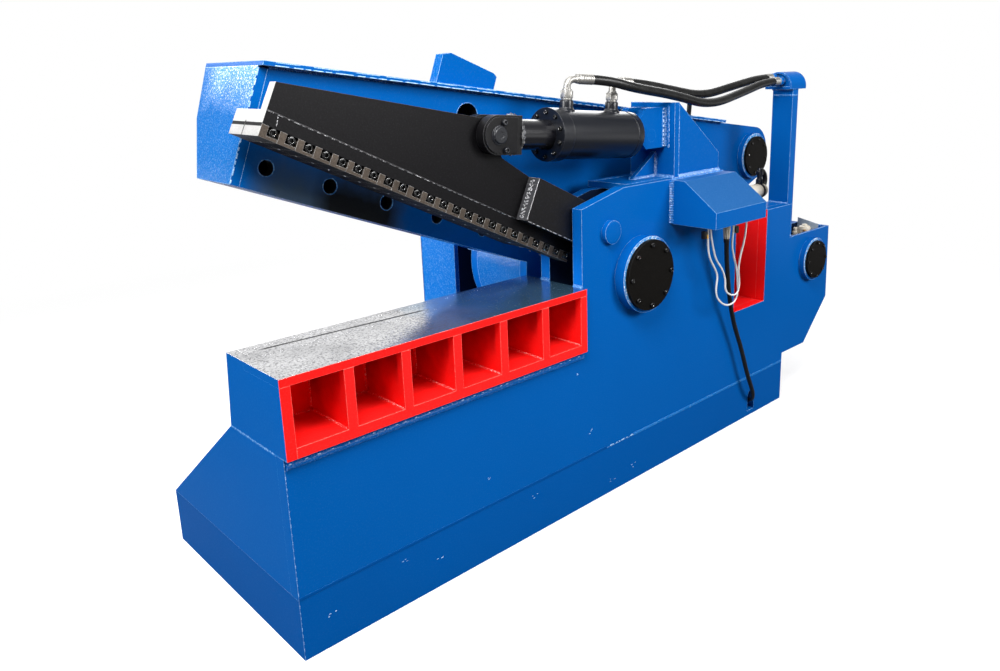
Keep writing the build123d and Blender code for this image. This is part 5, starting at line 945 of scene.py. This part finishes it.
# Bright dashes that paint glints along the seams and edges, and chips in the paint
CHIPS = (
    (97, 107), (355, 161), (1491, 64), (1360, 53), (934, 152),
    (712, 303), (498, 107), (1232, 302), (1154, 558),
)
bright = dashes(at(1.5, 0, 8), at(1.5, 0, 636), R, N, 2.0, 9, 14)
bright += dashes(at(20, 0, 203), at(1400, 0, 203), U, N, 2.4, 12, 190)
bright += dashes(at(1350, 0, 203), at(1500, 0, 203), U, N, 4, 14, 12)
bright += dashes(at(1765.5, 46.6, 1345), at(1765.5, 46.6, 1506), N, L, 7, 9, 7)
bright += dashes(at(1751, 62.6, 1350), at(1751, 62.6, 1500), R, N, 7, 9, 7)
# Painted highlight: a broken bright line along the top of the weld under the table
tilt = (N + U).normalized()
bright += dashes(at(12, -7.4, 627.4), at(1188, -7.4, 627.4), (U - N).normalized(), tilt, 2.4, 7, 34)
for x, z in CHIPS:
    for _ in range(3):
        start = at(x + rng.uniform(-14, 14), 0, z + rng.uniform(-8, 8))
        bright.append((start, start + R * rng.uniform(0.004, 0.01), U, N, rng.uniform(2, 3.4), True))
bright += dashes(at(1731, 0, 1050), at(1731, 0, 1216), L, N, 5, 9, 7)
bright += dashes(at(1728, -1, 1226), at(2080, 12, 1226), N, U, 4, 14, 12)
beads("bright_frame_seams", bright, [], bright_seam, "frame")

# Long smooth weld under the table
bm = bmesh.new()
waver = [at(5 + 11 * k, 1 + rng.uniform(-0.6, 0.6), 619 + rng.uniform(-0.8, 0.8)) for k in range(109)]
tube(bm, waver, 0.0115, 14)
piece("table_weld", bm, table_bead, "frame", 60)

# Welds in the table's pockets
RIB, POCKETS = 32, 6
RIB_STEP = (1200 - RIB) / POCKETS
pocket_seams = []
for k in range(POCKETS):
    left, rest = k * RIB_STEP + RIB, (k + 1) * RIB_STEP
    pocket_seams += [
        (at(left, -14, 674), at(left, 184, 674), R, U, 5),
        (at(rest, -14, 674), at(rest, 184, 674), L, U, 5),
        (at(left + 4, 190, 674), at(rest - 4, 190, 674), N, U, 5),
        (at(left, 190, 680), at(left, 190, 850), N, R, 5),
        (at(rest, 190, 680), at(rest, 190, 850), N, L, 5),
    ]
beads("pocket_welds", pocket_seams, [], weld_red, "frame")


# Welds of the jaw
TOP_RISE = 0.23779
TOP_PLATE = 14


def jaw_top(x):
    """Height of the jaw's top edge above its pivot line."""
    return 290 + (x + 1530) * TOP_RISE


slope = (JAW_BACK + JAW_UP * TOP_RISE).normalized()
top_square = Vector((-slope.z, 0, slope.x))


def jaw_run(x0, x1, rise, depth):
    """Two points along the jaw's top edge, a rise above it."""
    return turned(JAW, x0, jaw_top(x0) + rise, depth), turned(JAW, x1, jaw_top(x1) + rise, depth)


def on_top_plate(x, depth):
    """Point on the jaw's top plate."""
    return turned(JAW, x, jaw_top(x) + TOP_PLATE, depth)


jaw_seams = [
    (*jaw_run(-1498, 764, 0, 325), N, -top_square, 7),
    (*jaw_run(-1498, 764, 0, 668), F, -top_square, 7),
    (*jaw_run(-902, -652, TOP_PLATE, 345), N, top_square, 6),
    (*jaw_run(-902, -652, TOP_PLATE, 385), F, top_square, 6),
    (turned(JAW, -1500, 130, 668), turned(JAW, -1500, 295, 668), JAW_BACK, F, 5, True),
    (on_top_plate(-904, 347), on_top_plate(-904, 383), -slope, top_square, 7),
    (on_top_plate(-650, 347), on_top_plate(-650, 383), slope, top_square, 7),
]
beads("jaw_welds", jaw_seams, [], weld_blue, "jaw")
# Painted glints: bright dashes along the top plate's lower edge and down the front corner
bright = dashes(*jaw_run(-1494, 760, 2, 297), top_square, N, 3.4, 40, 12)
bright += dashes(*jaw_run(-1494, 760, 11.5, 297), top_square, N, 2.4, 60, 40)
bright += dashes(turned(JAW, -1527, -58, 325), turned(JAW, -1527, 286, 325), JAW_BACK, N, 4, 18, 10)
beads("bright_jaw_seams", bright, [], bright_seam, "jaw")

# Welds of the clamp
GRIP_PITCH, GRIPS = 55.5, 23
HUB_FACE_AT = -372
clamp_seams = [
    (turned(CLAMP, -1337, -78, 105), turned(CLAMP, -376, -78, 105), CLAMP_UP, N, 4.5, True),
    (turned(CLAMP, -1337, -78, 140), turned(CLAMP, -180, -78, 140), F, CLAMP_UP, 9),
]
beads("flange_weld", clamp_seams, [], weld_black, "clamp")
hub_seams_and_glints = [
    (turned(CLAMP, HUB_FACE_AT, -74, 52), turned(CLAMP, HUB_FACE_AT, 74, 52), F, -CLAMP_BACK, 3, True),
]
for depth in (75, 80, 85, 90):
    low = turned(CLAMP, HUB_FACE_AT, rng.uniform(-73, -67), depth)
    hub_seams_and_glints += dashes(low, turned(CLAMP, HUB_FACE_AT, 73, depth), F, -CLAMP_BACK, 6, 7, 7)
# Painted glints: specks under the gaps between the grip blocks
for k in range(1, GRIPS):
    start = turned(CLAMP, -1342 + GRIP_PITCH * k, -152, 198)
    hub_seams_and_glints.append((start, start + CLAMP_BACK * 0.006, F, -CLAMP_UP, 7, True))
# Painted glints: bright dashes along the flange's seam, on the web and on the hub; between them a short weld
# near the tip
hub_seams_and_glints += dashes(turned(CLAMP, -1336, -79, 105), turned(CLAMP, -392, -79, 105), CLAMP_UP, N, 3.6, 16, 9)
hub_seams_and_glints += dashes(turned(CLAMP, -1303, -84, 105), turned(CLAMP, -1299, -113, 105), CLAMP_BACK, N, 3, 8, 4)
hub_seams_and_glints += dashes(turned(CLAMP, -366, -79, 50), turned(CLAMP, -70, -79, 50), CLAMP_UP, N, 3.2, 14, 9)
beads("hub_weld_and_glints", hub_seams_and_glints, [], bare_weld_and_glint, "clamp")

# Black sleeves in the jaw's blade bolt holes and lifting hole, which paint the shade inside them, and raised
# rims in the lighter weld blue, which paint the rims' highlight
BOLT_PITCH = 218
holes = [(-1434 + BOLT_PITCH * k, 12, 24) for k in range(6)]
holes.append((-754, jaw_top(-754) - 92, 48))
sleeves, rims = bmesh.new(), bmesh.new()
for x, y, radius in holes:
    mouth = turned(JAW, x, y, 325)
    sleeve = [(radius + 0.3, -40), (radius - 0.5, -39), (radius - 0.5, -2)]
    lathe(sleeves, mouth, N, sleeve, ends=False)
    rim = [(radius - 0.5, -2.4), (radius + 0.2, 0.3), (radius + 2, 0.5), (radius + 3, -0.2)]
    lathe(rims, mouth, N, rim, ends=False)
piece("bolt_hole_shade_sleeves", sleeves, hole_black, "jaw", 40)
piece("bolt_hole_highlight_rims", rims, weld_blue, "jaw", 60)


# Welds of the clamp's cylinder
RAM_DEPTH = 122.5


def ram(d, rise=0.0, depth=RAM_DEPTH):
    """Point on the clamp cylinder, a distance from its tail pin towards the clevis."""
    return turned(RAM, -d, rise, depth)


barrel_rings = [(ram(114), RAM_BACK, 89, 8, True), (ram(474), RAM_BACK, 89, 7, True)]
beads("barrel_welds", [], barrel_rings, barrel_black, "clamp_cylinder")
beads("clevis_weld", [], [(ram(699), RAM_BACK, 53, 19)], dark_weld, "clamp_piston_rod")

# Screws
bm = bmesh.new()
FAR_COVER = 1002
for (x, z), radius, near_cover, size in ((MAIN_PIVOT, 119.5, -59, 9), (TRUNNION, 84.5, -42, 6)):
    for k in range(8):
        a = k * pi / 4
        dx, dz = radius * cos(a), radius * sin(a)
        socket_screw(bm, at(x + dx, near_cover, z + dz), N, size * 1.1, size)
        socket_screw(bm, at(x + dx, FAR_COVER, z + dz), F, size, 5.8)
for k in range(5):
    socket_screw(bm, at(180 + BOLT_PITCH * k, 287.5, 832), F, 15, 10)
piece("socket_head_screws", bm, screw, "frame", 35, ("socket_screws",))

bm = bmesh.new()
for k in range(GRIPS):
    socket_screw(bm, turned(CLAMP, -1302.5 + GRIP_PITCH * k, -130, 120), N, 13, 19)
piece("grip_socket_screws", bm, screw, "clamp", 35, ("grip_screws",))

bm = bmesh.new()
for k in range(10):
    a = (k + 0.5) * pi / 5
    socket_screw(bm, ram(531, 78 * sin(a), RAM_DEPTH + 78 * cos(a)), -RAM_BACK, 8, 8)
piece("gland_screws", bm, screw, "clamp_cylinder", 35)

# Keeper plate and head of the clevis pin
KEEPER = 59
bm = bmesh.new()
round_end = [ram(804.2 + KEEPER * sin(k * pi / 20), KEEPER * cos(k * pi / 20), 65) for k in range(21)]
slab(bm, [*round_end, ram(722, -KEEPER, 65), ram(722, KEEPER, 65)], 5, 1.2)
piece("clevis_keeper_plate", bm, black, "clamp_piston_rod", 30)
bm = bmesh.new()
for x, z in ((899.6, 1494.4), (903.9, 1403.6)):
    socket_screw(bm, at(x, 60, z), N, 10.5, 10)
head = [(33, -0.3), (33, 2), (31, 3.4), (28, 3.4), (27, 9), (25, 11), (12, 11), (11, 9)]
lathe(bm, at(878, 60, 1455), N, head, 40)
piece("clevis_pin_head", bm, barrel_black, "clamp_piston_rod", 35)

bm = bmesh.new()
x, y = TAIL_PIN
for k in range(8):
    a = k * pi / 4 + 0.2
    for depth, way in ((283, N), (710, F)):
        socket_screw(bm, turned(JAW, x + 84 * cos(a), y + 84 * sin(a), depth), way, 6, 5)
piece("tail_cover_screws", bm, screw, "jaw", 35)

# Caps and covers with rounded rims
bm = bmesh.new()
lathe(bm, boss(CLAMP_PIVOT, 0), N, [(44.6, -0.4), (44.6, 13), (43.6, 17), (40.5, 20), (36, 20.6)], 56)
piece("clamp_pin_cap", bm, blue, "frame", 50)

bm = bmesh.new()
cap = [(60, 83.4), (80, 83.4), (86, 85.4), (89, 90), (89.5, 97), (89.5, 108)]
lathe(bm, ram(0), -RAM_BACK, cap, 64, ends=False)
piece("barrel_end_cap", bm, barrel_black, "clamp_cylinder", 50)


# Port fittings: collar, union nut, elbow and crimped sleeve
def crimped(steps, count=5, pitch=9.5):
    """Profile of a crimped sleeve: one ridge's radii and distances, repeated."""
    return [(r, h + pitch * k) for k in range(count) for r, h in steps]


ELBOW_TURNS = ((431, radians(18)), (184, 0.0))
collars, unions = bmesh.new(), bmesh.new()
for d, turn in ELBOW_TURNS:
    foot = ram(d)
    lathe(collars, foot, RAM_UP, [(33, 82), (32, 87), (29, 91), (26, 93.5), (24.6, 97)], 36)
    lathe(collars, foot, RAM_UP, [(24.7, 95), (24.7, 119), (24, 121.4), (22, 123.4)], 36)
    lathe(unions, foot, RAM_UP, [(20, 122.6), (20.6, 124), (20.6, 129), (19.6, 130.4)], 32)
    prism(unions, foot, RAM_UP, [(22.0, 22.4, 130), (25, 24, 132), (25, 24, 154), (23, 22, 157)])
    lathe(unions, foot, RAM_UP, [(17.5, 156), (17.5, 162), (15, 164), (13.4, 166)], 28)
    away = RAM_BACK * cos(turn) + N * sin(turn)
    line = [ram(d, 160), ram(d, 172)]
    for k in range(1, 9):
        a = k * pi / 16
        line.append(ram(d, 172 + 26 * sin(a)) + away * 0.026 * (1 - cos(a)))
    line.append(line[-1] + away * 0.012)
    tube(unions, line, 0.0135, 20)
    end = ram(d, 200) + away * 0.060
    lathe(unions, end, away, [(13.4, -24), (17.5, -23), (18, -20), (18, -14), (16.6, -12.5)], 28)
    ridges = crimped([(19.6, -9), (19.6, -4.5), (18.7, -3), (18.7, -1)])
    sleeve = [(16.6, -13), (19.4, -11), *ridges, (19.6, 38.5), (19.6, 42), (18.8, 44), (18.1, 44)]
    lathe(unions, end, away, sleeve, 28)
piece("port_collars", collars, barrel_black, "clamp_cylinder", 45)
piece("port_unions", unions, zinc, "clamp_cylinder", 35, ("port_fittings",))

# Nipples that end both hoses on the saddle
bm = bmesh.new()
for depth, z in ((72, 1578), (110, 1594)):
    end = at(2630, depth, z)
    ridges = crimped([(18.7, -40), (18.7, -38), (19.6, -36.5), (19.6, -31.5)])
    lathe(bm, end, R, [(18.1, -44), (18.8, -44), *ridges, (20, 12), (19, 14)], 28)
    prism(bm, end, R, [(20, 19, 13), (22, 20.4, 15), (22, 20.4, 27), (20, 19, 29)])
    lathe(bm, end, R, [(13, 28), (13, 45)], 24)
piece("saddle_nipples", bm, zinc, "frame", 35)

# Terminal block: glands of the cable and wires, plug connectors and the cable's cores
GLANDS = ((1976, -100, 17), (1823, -112, 6), (1852, -104, 6), (2003, -116, 6), (2058, -142, 5))
bm = bmesh.new()
for x, depth, radius in GLANDS:
    mouth = at(x, depth, 1062.4)
    prism(bm, mouth, D, [(radius * 1.3, radius * 1.2, 0), (radius * 1.3, radius * 1.25, 9)])
    lathe(bm, mouth, D, [(radius, 8), (radius, 18), (radius * 0.8, 24), (radius * 0.62, 26)], 24)
lathe(bm, at(1976, -100, 962), D, [(10.4, -2), (12, 0), (12, 22), (10.6, 25), (10.1, 25)], 24)
# The chamfered plugs come last, so that every run gives the same mesh
for x, depth, z, half in ((1797, -112, 984, 9), (2018, -116, 974, 12)):
    block(bm, x - half, x + half, depth - 9, depth + 9, z, 30, 2.5)
piece("cable_glands", bm, sheath, "frame", 40)

bm = bmesh.new()
block(bm, 1805, 1819, -119, -105, 983, 17, 2)
piece("yellow_connector", bm, yellow, "frame", 30)

x, depth = GLANDS[0][:2]
bm = bmesh.new()
for a in circle(9):
    top = at(x + 13 * cos(a), depth + 13 * sin(a), 1040 + rng.uniform(-4, 4))
    low = at(x + 9.5 * cos(a + 0.5), depth + 9.5 * sin(a + 0.5), 955)
    mid = at(x + 12.5 * cos(a + 0.25), depth + 12.5 * sin(a + 0.25), 990)
    tube(bm, [top, (top + mid) / 2, mid, (mid + low) / 2, low], 0.0032, 10)
piece("cable_cores", bm, cream, "frame", 50)

# Lubricator in the rear box, and the splash sheet behind it
bm = bmesh.new()
block(bm, 2968, 3058, 58, 158, 466, 300, 4)
block(bm, 2962, 3058, 54, 162, 766, 12, 3)
piece("lubricator_tank", bm, slate, "frame", 30)
LID = 778
bm = bmesh.new()
lathe(bm, at(3012, 100, LID), U, [(30, 0), (31, 4), (31, 44), (28, 50), (16, 54), (14, 60), (8, 62)], 40)
lathe(bm, at(2984, 136, LID), U, [(16, 0), (16, 20), (12, 24), (12, 40), (9, 43)], 28)
piece("lubricator_cups", bm, cream, "frame", 40)
bm = bmesh.new()
prism(bm, at(2984, 84, LID), U, [(15, 14, 0), (16, 15, 2), (16, 15, 16), (14, 13, 18)])
lathe(bm, at(2984, 84, LID), U, [(9, 17), (9, 34), (6, 38)], 24)
piece("lubricator_valve", bm, bronze, "frame", 35)
bm = bmesh.new()
sheet = [(48, 640), (166, 640), (166, 862), (48, 838)]
slab(bm, [at(3057.6, depth, z) for depth, z in sheet], 3, 0.8)
piece("splash_sheet", bm, slate, "frame", 30)

# Valve block behind the post, on the inner plate
VALVE_SEAT, VALVE_DEPTH = 940, 191


def on_valve(x, rise):
    """Point on the valve block's middle plane, a rise above its seat."""
    return at(x, VALVE_DEPTH, VALVE_SEAT + rise)


bm = bmesh.new()
block(bm, 2560, 2680, 172, 210, VALVE_SEAT, 70, 4)
piece("valve_block", bm, slate, "frame", 30)
bm = bmesh.new()
bottle = [(14, -6), (28, 0), (35, 10), (35, 150), (30, 166), (18, 178), (10, 190)]
lathe(bm, on_valve(2570, 104), R, bottle, 44)
lathe(bm, on_valve(2640, 60), U, [(30, 0), (30, 14)], 32)
piece("accumulator", bm, cream, "frame", 40)
bm = bmesh.new()
prism(bm, on_valve(2700, 134), U, [(19, 18, 0), (20, 19, 3), (20, 19, 26), (18, 17, 28)])
lathe(bm, on_valve(2700, 134), U, [(13, 26), (13, 48), (17, 50), (17, 66), (13, 70), (9, 82)], 28)
piece("valve_fittings", bm, oiled, "frame", 35)
bm = bmesh.new()
bend = []
for k in range(11):
    a = k * pi / 10
    bend.append(on_valve(2700 + 52 * sin(a), 206 + 52 * (cos(a) - 1)))
tube(bm, [*bend, on_valve(2700, 88)], 0.0125)
lathe(bm, on_valve(2690, 104), R, [(36, 0), (38, 2), (38, 14), (36, 16)], 44)
piece("valve_pipe", bm, black, "frame", 40)

# Cable bracket with its tie on the jaw's top plate
bm = bmesh.new()
foot = on_top_plate(532, 342)
for long, rise, width in ((22, 5, 30), (14, 68, 8)):
    corners = ((-long, 0), (long, 0), (long, width), (-long, width))
    slab(bm, [foot + slope * (x / 1000) + F * (y / 1000) for x, y in corners], rise, 1.5)
piece("cable_bracket", bm, black, "jaw", 30)
bm = bmesh.new()
middle = foot + top_square * 0.056 + F * 0.004
turns = [k * pi / 12 for k in range(25)]
tie = [middle + slope * 0.019 * cos(a) + F * 0.010 * sin(a) for a in turns]
tube(bm, tie, 0.0026, 8)
knot = tie[0]
loose = [knot, knot + slope * 0.012 + top_square * 0.01, knot + slope * 0.018 + top_square * 0.026]
tube(bm, loose, 0.0022, 8)
piece("cable_tie", bm, white, "jaw", 50)

# Materials of the CAD nodes
PAINT = {
    blue: """chute_plate far_outer_plate bay_roofs bracket_plate bracket_stiffeners
        rear_column rear_plates post hose_saddle jaw_far_plate jaw_top_plate
        jaw_bottom_plates main_barrel clamp_pin""",
    sparkle_blue: "jaw_hub far_column_front",
    ring_blue: "pivot_rings tail_rings",
    plain_blue: "cylinder_lugs ram_tail_pin",
    beam_blue: "jaw_front_plate stop_plate",
    hood_blue: "control_hood",
    bay_blue: "inner_side_plate far_inner_plate",
    front_blue: "front_plate",
    skid_blue: "base_skid",
    window_plate: "near_side_plate",
    jaw_side: "jaw_near_plate",
    red: "table_ribs",
    window_red: "window_lining",
    table_top: "table_top",
    table_end: "table_end_plate",
    jaw_bar: "table_jaw_bar",
    clamp_black: "clamp_web clamp_flange",
    black: "clamp_clevis",
    hub_black: "clamp_hub",
    barrel_black: "clamp_barrel clamp_gland",
    cover: "pivot_covers tail_covers",
    table_steel: "lower_blade",
    grip: "grip_blocks",
    screw: "socket_screws grip_screws clevis_pin",
    chrome: "main_rod main_shaft tail_pin",
    rod_black: "clamp_rod",
    bronze: "jaw_bush trunnion_bushes",
    zinc: "port_fittings",
    plastic: "terminal_block",
}
for material, names in PAINT.items():
    for name in names.split():
        data = nodes[name].data
        data.materials.clear()
        data.materials.append(material)


# Stage: a floor and a background that the camera sees as white, and that bright metal mirrors
def background_rays(tree):
    """Two masks: 1 for the camera's rays, and 1 for rays that are mirrored or passed on."""
    path = tree.nodes.new("ShaderNodeLightPath").outputs
    return path["Is Camera Ray"], maths(tree, "MAXIMUM", path["Is Glossy Ray"], path["Is Transmission Ray"])


world = bpy.data.worlds.new("studio")
world.use_nodes = True
bpy.context.scene.world = world
sky = world.node_tree
seen, mirrored = background_rays(sky)
way = add(sky, "SeparateXYZ", {0: sky.nodes.new("ShaderNodeTexCoord").outputs["Generated"]}).outputs
HORIZON = (-0.2, 0.4)
wall = ramp(sky, way["Y"], *HORIZON, 0.25, 1.0)
tone = mix(sky, mirrored, ramp(sky, way["Y"], *HORIZON, 0.1, 0.45), wall)
sky.links.new(mix(sky, seen, tone, grey(1.0)), sky.nodes["Background"].inputs["Color"])

# The floor fades from the pale patch under the part, which takes its shadow, into the background
PATCH = (2.0, 5.0)
bm = bmesh.new()
bmesh.ops.create_grid(bm, x_segments=1, y_segments=1, size=60)
data = bpy.data.meshes.new("floor")
bm.to_mesh(data)
bm.free()
floor = bpy.data.objects.new("floor", data)
bpy.context.scene.collection.objects.link(floor)
pale = bpy.data.materials.new("pale_floor")
pale.use_nodes = True
tree = pale.node_tree
shade = tree.nodes["Principled BSDF"]
seen, mirrored = background_rays(tree)
spot = tree.nodes.new("ShaderNodeTexCoord").outputs["Object"]
away = add(tree, "VectorMath", {0: spot}, operation="LENGTH").outputs["Value"]
dim = mix(tree, mirrored, grey(0.22), grey(0.1))
dim = mix(tree, seen, dim, grey(0.62))
link(tree, mix(tree, ramp(tree, away, *PATCH), dim, grey(0.0)), shade.inputs["Base Color"])
glow = maths(tree, "MULTIPLY", seen, ramp(tree, away, *PATCH, 0.4, 1.0))
haze = maths(tree, "MULTIPLY", mirrored, ramp(tree, away, 3.5, 7.0))
link(tree, maths(tree, "MAXIMUM", glow, haze), shade.inputs["Emission Strength"])
shade.inputs["Emission Color"].default_value = grey(1.0)
shade.inputs["Roughness"].default_value = 0.8
shade.inputs["Specular IOR Level"].default_value = 0.0
data.materials.append(pale)
